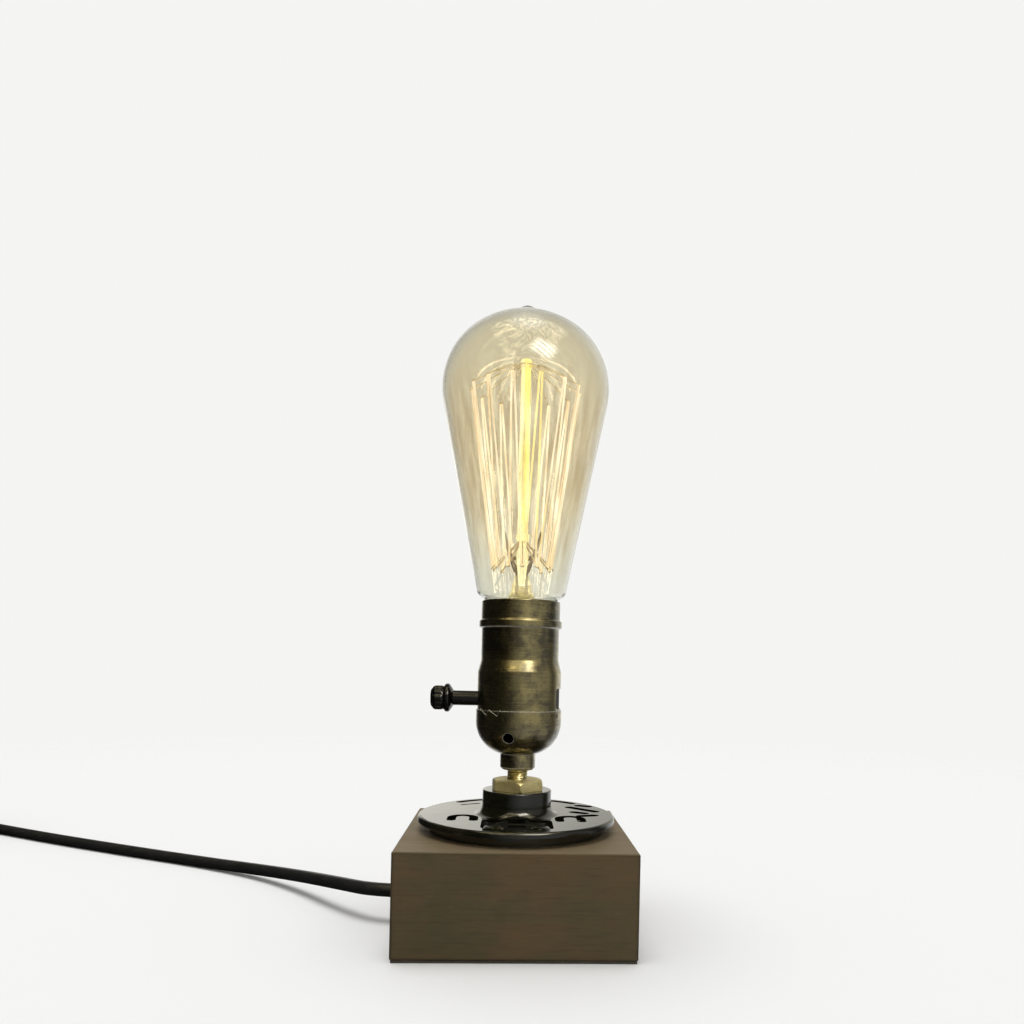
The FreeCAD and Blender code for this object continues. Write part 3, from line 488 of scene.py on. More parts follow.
def mirroredRoom(tree, settings):
    # what gloss and metal show
    way = tree.vector("NORMALIZE", tree.node("ShaderNodeTexCoord").also("Generated"))
    x, y, z = tree.apart(way)
    front, rear = roomShade(tree, x, y, settings)
    level = tree.smooth(z, *settings["ceiling"], (0.05, 1.0))
    low = settings["rearLight"]
    high = tree.between(x, -0.12, 0.12, settings["rearHigh"])
    rearLight = (high - low) * tree.between(z, *settings["rearHighFrom"]) + low
    top = tree.between(z, *settings["rearTopFrom"])
    rearLight = rearLight * (1.0 - top) + top * settings["rearTop"]
    total = front * level + rear * level * rearLight
    total = total + lightPatch(tree, way, settings, "overhead") + lightPatch(tree, way, settings, "lamp")
    golden = lightPatch(tree, way, settings, "branches")
    share = golden / (total + golden + 0.001)
    colour = tree.joined(1.0, 0.98 - share * 0.12, 0.88 - share * 0.36)
    return tree.node("ShaderNodeBackground", {0: colour, 1: total + golden})


def rayKinds(tree):
    # rays that show a thing as it is, straight or through glass, and rays that gloss sends out
    rays = tree.node("ShaderNodeLightPath")
    return rays.maths("MAXIMUM", rays.also("Is Transmission Ray")), rays.also("Is Glossy Ray")


def makeStudio(settings):
    world = bpy.data.worlds.new("studio")
    bpy.context.scene.world = world
    world.use_nodes = True
    tree = Tree(world.node_tree)
    seen, glossy = rayKinds(tree)
    sky = tree.node("ShaderNodeBackground", {0: (1.0, 1.0, 1.0, 1.0), 1: settings["sky"]})
    plain = tree.node("ShaderNodeBackground", {0: (*settings["backdrop"], 1.0), 1: 1.0})
    mirrored = mirroredRoom(tree, settings)
    lit = tree.node("ShaderNodeMixShader", {0: glossy, 1: sky, 2: mirrored})
    shown = tree.node("ShaderNodeMixShader", {0: seen, 1: lit, 2: plain})
    tree.node("ShaderNodeOutputWorld", {"Surface": shown})
    sun = bpy.data.lights.new("key", "SUN")
    sun.energy = settings["keyStrength"]
    sun.angle = math.radians(settings["keySoftness"])
    key = linked("key", sun)
    key.visible_glossy = False  # gloss shows the panels in its place
    key.visible_transmission = False
    key.rotation_mode = "QUATERNION"
    key.rotation_quaternion = Vector(settings["keyFrom"]).to_track_quat("Z", "Y")


def makeFloor(settings):
    finish = Finish("floor")
    distance = finish.vector("LENGTH", finish.place, output="Value")
    edge = settings["floorReach"] + settings["floorFade"]
    near = finish.smooth(distance, settings["floorReach"], edge, (1.0, 0.0))
    x, y, _ = finish.apart(finish.place)
    front, rear = roomShade(finish, x, y, settings)
    seen, glossy = rayKinds(finish)
    bounced = (settings["floorBounce"],) * 3
    mirrored = front + rear * settings["rearLight"]
    colour = finish.blend(glossy, bounced, finish.joined(mirrored, mirrored, mirrored))
    colour = finish.blend(seen, colour, settings["paper"])
    paper = finish.node("ShaderNodeBsdfDiffuse", {0: colour})
    clear = finish.node("ShaderNodeBsdfTransparent")
    mixed = finish.node("ShaderNodeMixShader", {0: near, 1: clear, 2: paper})
    finish.node("ShaderNodeOutputMaterial", {"Surface": mixed})
    bm = bmesh.new()
    bmesh.ops.create_circle(bm, cap_ends=True, segments=96, radius=settings["floorRadius"])
    mesh = bpy.data.meshes.new("floor")
    bm.to_mesh(mesh)
    bm.free()
    mesh.materials.append(finish.material)
    linked("floor", mesh)


makeStudio(studio)
makeFloor(studio)
print("camera, light and floor are in place")


# Finishes


woodSizes = {"half": 0.042, "foot": 0.0008, "top": 0.0373}


def stainedWood(sizes):
    # darker along the block's edges, and lighter and redder on its top: painted light from above
    finish = Finish("stained wood")
    patches = finish.noise(38.0, 3.0, 0.5, (0.45, 1.0, 1.0))
    bands = finish.noise(260.0, 5.0, 0.6, (0.06, 1.0, 1.0), 0.5)
    pores = finish.noise(1150.0, 3.0, 0.6, (0.07, 1.0, 1.0))
    flecks = finish.noise(1700.0, 2.0, 0.5, (0.09, 1.0, 1.0))
    cloudy = finish.noise(75.0, 4.0, 0.6, (0.8, 1.0, 1.0))
    tone = finish.between(bands * 0.2 + patches * 0.35 + cloudy * 0.45, 0.40, 0.60)
    colour = finish.blend(tone, (0.110, 0.092, 0.046), (0.160, 0.104, 0.049))
    poreMask = finish.between(pores, 0.52, 0.68)
    colour = finish.blend(poreMask * 0.22, colour, (0.050, 0.042, 0.024))
    fleckMask = finish.between(flecks, 0.56, 0.72)
    colour = finish.blend(fleckMask * 0.2, colour, (0.190, 0.138, 0.076))
    x, y, z = finish.apart(finish.place)
    offX = sizes["half"] - x.maths("ABSOLUTE")
    offY = sizes["half"] - y.maths("ABSOLUTE")
    offZ = (z - sizes["foot"]).maths("MINIMUM", sizes["top"] - z)
    offEdge = (offX + offY).maths("MINIMUM", (offX + offZ).maths("MINIMUM", offY + offZ))
    # a band along every edge, the bottom ones too, where the colour is darker
    worn = finish.between(offEdge + patches * 0.0006, 0.0013, 0.0006)
    colour = finish.blend(worn * 0.75, colour, (0.030, 0.026, 0.018))
    # the top face is lighter: painted light from above
    paintedTopLight = finish.between(z, sizes["top"] - 0.0003, sizes["top"] - 0.0001)
    colour = finish.blend(paintedTopLight * 0.8, colour, (0.185, 0.142, 0.088))
    height = bands * 0.4 - poreMask * 0.6 + fleckMask * 0.2
    return finish.surface({
        "Base Color": colour,
        "Roughness": finish.between(bands, 0.35, 0.65, (0.52, 0.66)),
        "Specular IOR Level": 0.25,
        "Normal": finish.relief(height, 0.00005, 0.7),
    })


def darkFelt():
    finish = Finish("dark felt")
    fuzz = finish.noise(2600.0, 5.0, 0.7)
    clumps = finish.noise(300.0, 3.0, 0.5)
    colour = finish.blend(clumps, (0.070, 0.060, 0.040), (0.130, 0.110, 0.075))
    return finish.surface({
        "Base Color": colour,
        "Roughness": finish.between(fuzz, 0.3, 0.7, (0.85, 1.0)),
        "Sheen Weight": 0.3,
        "Normal": finish.relief(fuzz, 0.0003),
    })


def glossEnamel():
    # black, with a faint olive painted reflection wiped round the lamp's axis
    finish = Finish("gloss black enamel")
    peel = finish.noise(240.0, 3.0, 0.5)
    haze = finish.noise(70.0, 5.0, 0.65)
    wiped = finish.noise(260.0, 4.0, 0.6, (0.25, 0.25, 1.6))
    worn = finish.worn()
    # the olive streaks are a painted reflection
    oliveReflection = finish.between(haze * 0.5 + wiped * 0.5, 0.42, 0.66)
    colour = finish.blend(oliveReflection, (0.003, 0.003, 0.001), (0.024, 0.023, 0.011))
    # paler patches along the eased edges: painted highlight lines
    colour = finish.blend(worn * finish.between(wiped, 0.40, 0.55), colour, (0.110, 0.106, 0.085))
    return finish.surface({
        "Base Color": colour,
        "Roughness": finish.between(haze, 0.35, 0.65, (0.05, 0.14)),
        "IOR": 1.55,
        "Normal": finish.relief(peel, 0.00006, 0.45),
    })


# heights of the collar, whose left side gets painted shade, and of the bead and the seam, which get painted
# highlight lines
brassMarks = {"collarFrom": (0.103, 0.107), "collarTo": (0.1148, 0.1142), "bead": 0.1149, "seam": 0.0833}


def antiqueBrass(marks):
    # brushed round the lamp's axis, with cloudy dark stain in it, painted shade on the collar's left side,
    # and paler edges that are partly rubbed wear and partly painted highlight lines
    finish = Finish("antique brass")
    cloud = finish.noise(190.0, 6.0, 0.68)
    wide = finish.noise(60.0, 3.0, 0.5)
    brushed = finish.noise(900.0, 3.0, 0.6, (0.12, 0.12, 1.9))
    speck = finish.noise(900.0, 3.0, 0.7)
    worn = finish.worn()
    x, _, z = finish.apart(finish.place)
    collar = finish.between(z, *marks["collarFrom"]) * finish.between(z, *marks["collarTo"])
    # the collar's left side is darker: painted shade, worked into the stain
    paintedCollarShade = collar * finish.between(x + wide * 0.004, 0.0035, -0.0015, (0.05, 0.12))
    stain = finish.between(cloud * 0.50 + brushed * 0.20 + wide * 0.30 - paintedCollarShade, 0.42, 0.58)
    colour = finish.blend(stain, (0.055, 0.042, 0.012), (0.312, 0.257, 0.093))
    specks = finish.between(speck, 0.58, 0.70)
    colour = finish.blend(specks * 0.5, colour, (0.045, 0.034, 0.015))
    # the pale lines along the bead and along the seam are painted highlights
    offBead = (z - marks["bead"]).maths("ABSOLUTE")
    offSeam = (z - marks["seam"]).maths("ABSOLUTE")
    worn = worn.maths("MAXIMUM", finish.between(offBead, 0.00028, 0.00014))
    worn = worn.maths("MAXIMUM", finish.between(offSeam, 0.00024, 0.00014, (0.0, 0.5)))
    # paler, less metallic edges: partly rubbed wear, partly painted highlight lines
    edges = worn * finish.between(cloud, 0.26, 0.40)
    colour = finish.blend(edges, colour, (0.42, 0.40, 0.33))
    return finish.surface({
        "Base Color": colour,
        "Metallic": 1.0 - edges,
        "Roughness": finish.between(stain * 0.5 + brushed * 0.5, 0.25, 0.75, (0.42, 0.27)) + edges * 0.15,
        "Coat Weight": 1.0,
        "Coat Roughness": 0.24,
        "Coat IOR": 1.7,
        "Normal": finish.relief(brushed * 0.7 + specks * -0.5, 0.00003, 0.6),
    })


def metalFinish(name, dark, light, roughness):
    finish = Finish(name)
    cloud = finish.noise(130.0, 5.0, 0.6)
    lines = finish.noise(700.0, 4.0, 0.6)
    tone = finish.between(cloud * 0.5 + lines * 0.5, 0.35, 0.65)
    return finish.surface({
        "Base Color": finish.blend(tone, dark, light),
        "Metallic": 1.0,
        "Roughness": finish.between(lines * 0.6 + cloud * 0.4, 0.3, 0.7, roughness),
        "Normal": finish.relief(lines, 0.00003, 0.6),
    })


def plainFinish(name, dark, light, roughness, scale=900.0, depth=0.00004, specular=0.5):
    finish = Finish(name)
    mottle = finish.noise(scale, 4.0, 0.6)
    wide = finish.noise(scale * 0.12, 3.0, 0.5)
    tone = finish.between(mottle * 0.5 + wide * 0.5, 0.35, 0.65)
    return finish.surface({
        "Base Color": finish.blend(tone, dark, light),
        "Roughness": finish.between(mottle, 0.3, 0.7, roughness),
        "Specular IOR Level": specular,
        "Normal": finish.relief(mottle, depth, 0.5),
    })


def amberGlass():
    # a thin amber coat, clear low down, with painted reflections: greyer seen edge-on, and combed with
    # painted tan streaks and a weak painted glow where the cage shows
    finish = Finish("amber glass")
    z = finish.apart(finish.place)[2]
    low = finish.smooth(z, 0.170, 0.128)
    high = finish.smooth(z, 0.196, 0.218)
    edge = finish.node("ShaderNodeLayerWeight", {"Blend": 0.5}).also("Facing")
    # greyer where the glass is seen edge-on: a painted reflection
    edgeOnReflection = finish.smooth(edge, 0.40, 0.9)
    tint = finish.blend(high, (0.805, 0.740, 0.590), (0.830, 0.782, 0.640))
    tint = finish.blend(low, tint, (0.880, 0.873, 0.785))
    drawn = finish.noise(420.0, 2.0, 0.5, (1.0, 1.0, 0.04), 0.3)
    lines = finish.between(drawn, 0.54, 0.60) * finish.between(z, 0.172, 0.140)
    tint = finish.blend(lines * 0.45, tint, (0.80, 0.80, 0.74))
    tint = finish.blend(edgeOnReflection * 0.9, tint, (0.72, 0.735, 0.715))
    tint = finish.blend(finish.between(z, 0.2350, 0.2362), tint, (0.93, 0.915, 0.87))
    ripple = finish.noise(45.0, 2.0, 0.5)
    combed = finish.noise(330.0, 3.0, 0.6, (1.0, 1.0, 0.035), 0.2)
    reach = finish.between(z, 0.126, 0.150) * finish.between(z, 0.212, 0.196)
    # darker tan streaks, and glowing streaks where the wall faces the camera: painted reflections and painted
    # glow of the lit cage
    tint = finish.blend(finish.between(combed, 0.52, 0.38) * reach * 0.55, tint, (0.700, 0.590, 0.400))
    paintedCageGlow = finish.between(combed, 0.46, 0.60) * reach
    paintedCageGlow = paintedCageGlow * finish.smooth(edge, 0.42, 0.10)
    return finish.surface({
        "Base Color": tint,
        "Emission Color": finish.blend(paintedCageGlow, (0.0, 0.0, 0.0), (0.090, 0.086, 0.062)),
        "Emission Strength": 1.0,
        "Roughness": 0.0,
        "IOR": 1.5,
        "Transmission Weight": 1.0,
        "Normal": finish.relief(ripple, 0.0002, 0.25),
    })


def stemGlass():
    # clear glass with a painted yellow glow up its rod and round its foot, standing in for the filament's
    # light
    finish = Finish("stem glass")
    x, _, z = finish.apart(finish.place)
    ripple = finish.noise(200.0, 2.0, 0.5)
    streaks = finish.noise(900.0, 3.0, 0.6, (1.0, 1.0, 0.05))
    # painted glow: stronger up the rod and at the foot, yellower on the right-hand side
    paintedRodGlow = finish.smooth(z, 0.140, 0.162) * finish.between(z, 0.222, 0.214, (0.35, 1.0))
    paintedRodGlow = paintedRodGlow * finish.between(streaks, 0.42, 0.56, (0.15, 1.0)) + 0.08
    side = finish.between(x + streaks * 0.0014, -0.0002, 0.0006)
    shine = finish.blend(side, (0.52, 0.49, 0.36), (0.45, 0.41, 0.05))
    foot = finish.between(z, 0.146, 0.132) * finish.between(z, 0.1245, 0.1275)
    shine = finish.blend(foot, shine, (0.60, 0.50, 0.26))
    paintedRodGlow = paintedRodGlow + foot * finish.between(streaks, 0.40, 0.60, (0.30, 0.60))
    return finish.surface({
        "Base Color": (0.97, 0.93, 0.70),
        "Roughness": finish.between(ripple, 0.3, 0.7, (0.0, 0.08)),
        "IOR": 1.45,
        "Transmission Weight": 1.0,
        "Emission Color": finish.blend(paintedRodGlow, (0.0, 0.0, 0.0), shine),
        "Emission Strength": 1.0,
        "Normal": finish.relief(ripple, 0.0001, 0.4),
    })


def glowingWire():
    # yellow in the front middle of the cage and cream elsewhere; its mirror image in the glass is stronger
    finish = Finish("glowing wire")
    x, y, z = finish.apart(finish.place)
    uneven = finish.noise(330.0, 2.0, 0.5, (1.0, 1.0, 0.10))
    middle = finish.smooth((x - 0.003).maths("ABSOLUTE"), 0.0065, 0.003)
    middle = middle * finish.between(y, 0.002, -0.004)
    sides = finish.blend(finish.between(uneven, 0.40, 0.60), (0.78, 0.70, 0.55), (1.10, 1.08, 1.00))
    warm = finish.blend(middle, sides, (1.04, 1.00, 0.46))
    ends = finish.smooth(z, 0.137, 0.160)
    warm = finish.blend(ends, (0.66, 0.56, 0.36), warm)
    direct = finish.node("ShaderNodeBsdfPrincipled", {
        "Base Color": (0.5, 0.35, 0.15, 1.0),
        "Roughness": 0.5,
        "Emission Color": warm,
        "Emission Strength": 1.1,
    })
    mirrored = finish.node("ShaderNodeEmission", {"Color": (1.0, 0.90, 0.66, 1.0), "Strength": 12.0})
    rays = finish.node("ShaderNodeLightPath")
    reflected = rays.also("Is Glossy Ray") - rays.also("Is Transmission Ray")
    mixed = finish.node("ShaderNodeMixShader", {0: reflected, 1: direct, 2: mirrored})
    finish.node("ShaderNodeOutputMaterial", {"Surface": mixed})
    return finish.material


def litWire():
    # thin wire with a weak painted glow, stronger high up, standing in for the light of the filament beside
    # it
    finish = Finish("support wire")
    uneven = finish.noise(700.0, 3.0, 0.6)
    z = finish.apart(finish.place)[2]
    lit = finish.between(z, 0.190, 0.200) * finish.between(uneven, 0.3, 0.6)
    return finish.surface({
        "Base Color": finish.blend(uneven, (0.20, 0.14, 0.06), (0.50, 0.38, 0.18)),
        "Metallic": 0.2,
        "Roughness": finish.between(uneven, 0.3, 0.7, (0.25, 0.45)),
        "Emission Color": finish.blend(lit, (0.13, 0.10, 0.05), (0.60, 0.54, 0.36)),
        "Emission Strength": 1.0,
    })


wood = stainedWood(woodSizes)
felt = darkFelt()
enamel = glossEnamel()
antique = antiqueBrass(brassMarks)
steel = metalFinish("zinc plated steel", (0.36, 0.36, 0.37), (0.52, 0.52, 0.52), (0.28, 0.42))
brass = metalFinish("plain brass", (0.42, 0.37, 0.20), (0.62, 0.56, 0.33), (0.26, 0.40))
satinBrass = metalFinish("satin brass", (0.55, 0.48, 0.25), (0.76, 0.67, 0.38), (0.50, 0.64))
fibre = plainFinish("black fibre", (0.015, 0.014, 0.013), (0.04, 0.037, 0.033), (0.6, 0.8))
phenolic = plainFinish("moulded phenolic", (0.02, 0.016, 0.013), (0.035, 0.03, 0.026), (0.35, 0.5))
gloss = plainFinish(
    "black gloss plastic", (0.002, 0.002, 0.002), (0.006, 0.006, 0.006), (0.06, 0.13), 500.0, 0.00001, 0.35
)
sheath = plainFinish("wire sheath", (0.40, 0.40, 0.38), (0.52, 0.52, 0.49), (0.4, 0.5))
bulbMetal = metalFinish("bulb base metal", (0.55, 0.54, 0.50), (0.72, 0.71, 0.67), (0.25, 0.4))
solder = metalFinish("solder", (0.40, 0.40, 0.40), (0.62, 0.62, 0.62), (0.35, 0.5))
blackGlass = plainFinish("black glass", (0.01, 0.01, 0.014), (0.02, 0.02, 0.028), (0.05, 0.12))
supportWire = litWire()
leadWire = plainFinish("lead wire", (0.09, 0.06, 0.025), (0.36, 0.26, 0.12), (0.30, 0.45))
flex = plainFinish("black flex", (0.008, 0.008, 0.008), (0.018, 0.018, 0.018), (0.34, 0.48), 1200.0, 0.00005)
bulbSkin = amberGlass()
clearStem = stemGlass()
glow = glowingWire()
print("finishes are made")


# Cord, from the bushing across the table into its coil and out to the plug

cordSizes = {
    "radius": 2.6, "length": 1.80,
    "exit": (-43.2, 0.0, 12.5),
    "route": [
        (-30.0, 0.0, 12.5),
        (-52.5, 0.0, 12.5),
        (-71.5, 17.4, 10.8),
        (-91.5, 40.8, 7.2),
        (-114.5, 61.8, 4.3),
        (-146.0, 81.3, 2.6),
        (-205.0, 109.8, 2.6),
        (-254.0, 135.0, 2.6),
        (-299.0, 160.4, 2.6),
    ],
    "coilCentre": (-333.03, 140.80),
    "arrival": 60.53,
    "outerTurn": 33.8, "innerTurn": 28.6, "pointsPerTurn": 18,
    "leaving": 180.0,
    "tieAzimuth": 300.0, "tieSqueeze": 0.75, "tieReach": 40.0,
    "middleLayer": 1.5,
    "plugHeight": 6.5, "leadOut": 22.0,
}
# each turn lies in one cell (column, layer) and crosses to the next in a stretch of its azimuth
coilCells = [
    ("outer", 0), ("inner", 0), ("inner", 1), ("inner", 2),
    ("inner", 3), ("outer", 3), ("outer", 2), ("outer", 1),
]
coilCrossings = [(295, 345), (240, 290), (240, 290), (240, 290), (190, 235), (138, 188), (138, 188)]

gripSizes = {"ribs": 5, "width": 15.0, "radius": 0.9, "stand": 0.45, "first": 7.0, "gap": 2.9}


def coilPoint(sizes, turned):
    # a point of the winding, from the angle turned since the cord reached the coil
    turn = min(int(turned // 360), len(coilCells) - 1)
    within = turned - 360 * turn
    here = coilCells[turn]
    share = 0.0
    there = here
    if turn < len(coilCrossings):
        first, last = coilCrossings[turn]
        there = coilCells[turn + 1]
        share = min(max((within - first) / (last - first), 0.0), 1.0)
        share = share * share * (3.0 - 2.0 * share)
    spread = {"outer": sizes["outerTurn"], "inner": sizes["innerTurn"]}
    radius = spread[here[0]] * (1.0 - share) + spread[there[0]] * share
    layer = here[1] * (1.0 - share) + there[1] * share
    height = sizes["radius"] * (1.0 + 2.0 * layer)
    azimuth = sizes["arrival"] + turned
    offTie = abs((azimuth - sizes["tieAzimuth"] + 180.0) % 360.0 - 180.0)
    squeeze = sizes["tieSqueeze"] * max(0.0, 1.0 - offTie / sizes["tieReach"])
    middleRadius = (sizes["outerTurn"] + sizes["innerTurn"]) / 2.0
    radius += squeeze * (middleRadius - radius) / sizes["radius"]
    height += squeeze * (1.0 - layer / sizes["middleLayer"])
    # a curve of this order runs inside its points, so they stand a little further out
    radius /= 1.0 - 0.25 * (1.0 - math.cos(2.0 * math.pi / sizes["pointsPerTurn"]))
    centre = Vector((*sizes["coilCentre"], 0.0))
    return centre + atAzimuth(azimuth, radius, height)


def cordPoints(sizes):
    points = [Vector(point) for point in sizes["route"]]
    total = 360.0 * (len(coilCells) - 1) + (sizes["leaving"] - sizes["arrival"])
    count = round(total / 360.0 * sizes["pointsPerTurn"])
    points += [coilPoint(sizes, total * k / count) for k in range(count + 1)]
    last = points[-1]
    out = Vector((0.0, -1.0, 0.0)) * sizes["leadOut"]
    drop = sizes["plugHeight"] - last.z
    leavingX = sizes["coilCentre"][0] - sizes["outerTurn"]
    for share in (0.35, 0.7, 1.0):
        point = last + out * share + up * (drop * min(1.0, share * 1.3))
        points.append(Vector((leavingX, point.y, point.z)))
    points.append(points[-1] + Vector((0.0, -6.0, 0.0)))
    return points


def makeGrip(sizes):
    # a row of low ribs across the top of the plug
    low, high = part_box("plug_body")
    half = sizes["width"] / 2.0
    rod = sizes["radius"]
    rib = turnedPiece("rib", [(0.0, -half), (rod, -half, rod * 0.9), (rod, half, rod * 0.9), (0.0, half)], 24)
    rib = moved(rib, Matrix.Rotation(math.radians(90.0), 4, "Y"))
    start = ((low[0] + high[0]) / 2.0, low[1] + sizes["first"] * mm, high[2] + (sizes["stand"] - rod) * mm)
    ribs = repeated("plug_grip", rib, rowTree, row(sizes["ribs"], start, (0.0, sizes["gap"] * mm, 0.0)), flex)
    ribs.data.shade_smooth()
    return placed(ribs, "lamp", "cord_black", flex)


def makeCord(sizes):
    cord = curveAlong("flex_cord", cordPoints(sizes), sizes["radius"], 8, 8)
    placed(cord, "lamp", "cord_black", flex, "cord", "cord_coil")
    grip = makeGrip(gripSizes)


makeCord(cordSizes)
print("cord is laid")


# Bulb


bulbSizes = {
    "bottom": 98.0, "length": 142.0,
    "domeRadius": 32.1, "domeHeight": 29.1,
    "sideRadius": 27.5, "coneAngle": 11.2, "wall": 0.8,
    "neckRadius": 12.5, "neckLow": 20.0, "neckHigh": 26.6,
    "footHeight": 30.0, "footRound": 3.4,
    "nubRadius": 5.4, "nubHeight": 3.8,
}


def arc(radius, sideways, height, start, end, steps):
    # points of an arc, without its first one
    angles = [start + (end - start) * k / steps for k in range(1, steps + 1)]
    return [(sideways + math.cos(a) * radius, height + math.sin(a) * radius) for a in angles]


def glassOutline(sizes, inset):
    # from the crown down over the dome and along the cone to the neck, smaller by an inset
    angle = math.radians(sizes["coneAngle"])
    centre = sizes["length"] - sizes["nubHeight"] - sizes["domeHeight"]
    sideways = sizes["domeRadius"] - sizes["sideRadius"]
    rise = sizes["domeHeight"]
    crown = (sideways ** 2 + rise ** 2 - sizes["sideRadius"] ** 2) / (2.0 * (rise - sizes["sideRadius"]))
    crownCentre = centre + rise - crown
    steep = math.atan2(centre - crownCentre, sideways)
    outline = [(0.0, crownCentre + crown - inset)]
    outline += arc(crown - inset, 0.0, crownCentre, math.pi / 2.0, steep, 60)
    outline += arc(sizes["sideRadius"] - inset, sideways, centre, steep, 0.0, 32)
    outline += arc(sizes["domeRadius"] - inset, 0.0, centre, 0.0, -angle, 8)
    touch = Vector(outline[-1])
    footHeight, rounding, neck = sizes["footHeight"], sizes["footRound"], sizes["neckRadius"] - inset
    foot = touch.x - (touch.y - footHeight) * math.tan(angle)
    outline += [tuple(touch.lerp(Vector((foot, footHeight)), k / 40)) for k in range(1, 40)]
    corners = [outline[-1], (foot, footHeight, rounding)]
    corners += [(neck, sizes["neckHigh"], rounding), (neck, sizes["neckLow"])]
    outline += [tuple(point) for point in softened(corners, 10)[1:]]
    return outline


def swollen(sizes, radius, height):
    # the sealed tip swells softly out of the crown
    tip = sizes["nubHeight"] * math.exp(-(radius / sizes["nubRadius"]) ** 2)
    return radius, height + tip + sizes["bottom"]


def makeBulbGlass(sizes):
    walls = glassOutline(sizes, 0.0) + glassOutline(sizes, sizes["wall"])[::-1]
    outline = [swollen(sizes, *point) for point in walls]
    glass = closedSkin(turnedMesh(outline, 192), "bulb_envelope", 60.0)
    placed(glass, "bulb", "amber_glass", bulbSkin, "bulb_glass")


threadSizes = {
    "middle": 12.65, "depth": 0.38, "pitch": 3.629, "gap": 0.3, "wall": 0.3,
    "fade": 1.2, "row": 0.3, "baseFrom": 103.2, "baseTo": 121.6, "shellFoot": 0.8,
}


def threadRadius(sizes, height, azimuth, low, high):
    # the rolled thread of base and socket, fading out at both ends
    wave = math.cos(2.0 * math.pi * (height / sizes["pitch"] - azimuth / 360.0))
    fade = max(0.0, min(1.0, (height - low) / sizes["fade"], (high - height) / sizes["fade"]))
    return sizes["middle"] + sizes["depth"] * (1.0 + (wave - 1.0) * fade)


def threadedCup(name, low, high, grow, sizes, foot):
    # a thin cup with the thread rolled into its wall; foot lists the outline's lower corners
    count = round((high - low) / sizes["row"])
    heights = [low + (high - low) * k / count for k in range(count + 1)]
    inner = [(1.0, z) for z in heights]
    outer = [(2.0, z) for z in heights[::-1]]

    def shaped(radius, height, azimuth):
        if radius > 2.5:
            return radius, height
        wall = grow + (sizes["wall"] if radius > 1.5 else 0.0)
        return threadRadius(sizes, height, azimuth, low, high) + wall, height

    return closedSkin(turnedMesh(inner + outer + foot, 144, shaped), name, 50.0)


def makeThreads(sizes):
    base = threadedCup("bulb_cap", sizes["baseFrom"], sizes["baseTo"], -sizes["wall"], sizes, [
        (11.6, 101.5), (9.65, 101.0), (9.65, 101.35), (11.4, 101.85),
    ])
    placed(base, "bulb", "bulb_metal", bulbMetal, "bulb_base")
    bottom, top = (corner[2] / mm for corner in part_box("screw_shell"))
    shell = threadedCup("screw_socket", bottom + sizes["shellFoot"], top, sizes["gap"], sizes, [
        (13.63, bottom), (12.43, bottom), (12.43, bottom + 0.3), (13.2, bottom + 0.3),
    ])
    placed(shell, "lamp", "bright_brass", brass, "screw_shell")


stemSizes = {"pressFrom": 128.0, "pressFull": 136.0, "pressEnds": 145.5, "pressGone": 147.5, "pressed": 1.2}


def makeStem(sizes):
    def pressed(radius, height, azimuth):
        # the stem is round at its foot and pinched flat at the press
        rise = (height - sizes["pressFrom"]) / (sizes["pressFull"] - sizes["pressFrom"])
        fall = (sizes["pressGone"] - height) / (sizes["pressGone"] - sizes["pressEnds"])
        pinch = max(0.0, min(1.0, rise)) * max(0.0, min(1.0, fall))
        a = math.radians(azimuth)
        flat = math.hypot(math.cos(a), math.sin(a) * (1.0 + sizes["pressed"] * pinch))
        return radius / flat, height

    corners = [
        (0.0, 119.0), (11.4, 119.0, 0.4), (10.4, 122.5, 4.0), (5.0, 127.0, 5.0),
        (2.5, 136.0, 5.0), (2.6, 145.0, 1.2), (1.5, 146.8, 0.8),
        (1.7, 148.4, 0.5), (2.5, 149.0, 0.9), (2.5, 151.0, 0.9), (2.0, 151.8, 0.5),
        (2.0, 180.0), (1.9, 215.4, 0.5), (2.4, 216.6, 0.9), (2.4, 219.0, 1.2), (0.0, 219.8),
    ]
    outline = []
    rounded = softened(corners, 8)
    for here, there in zip(rounded, rounded[1:]):
        count = max(1, int((there - here).length / 1.5))
        outline += [here.lerp(there, k / count) for k in range(count)]
    outline.append(rounded[-1])
    stem = closedSkin(turnedMesh(outline, 48, pressed), "glass_stem", 50.0)
    placed(stem, "bulb", "clear_glass", clearStem, "bulb_stem")


cageSizes = {
    "points": 50,
    "firstAzimuth": 90.0 + 180.0 / 13, "step": 180.0 / 13,
    "lowRadius": 11.5 * mm, "lowHeight": 138.0 * mm,
    "highRadius": 21.3 * mm, "highHeight": 207.6 * mm,
    "wire": 0.35 * mm, "bendWidth": 0.5 * mm, "bendRound": 0.42 * mm,
}


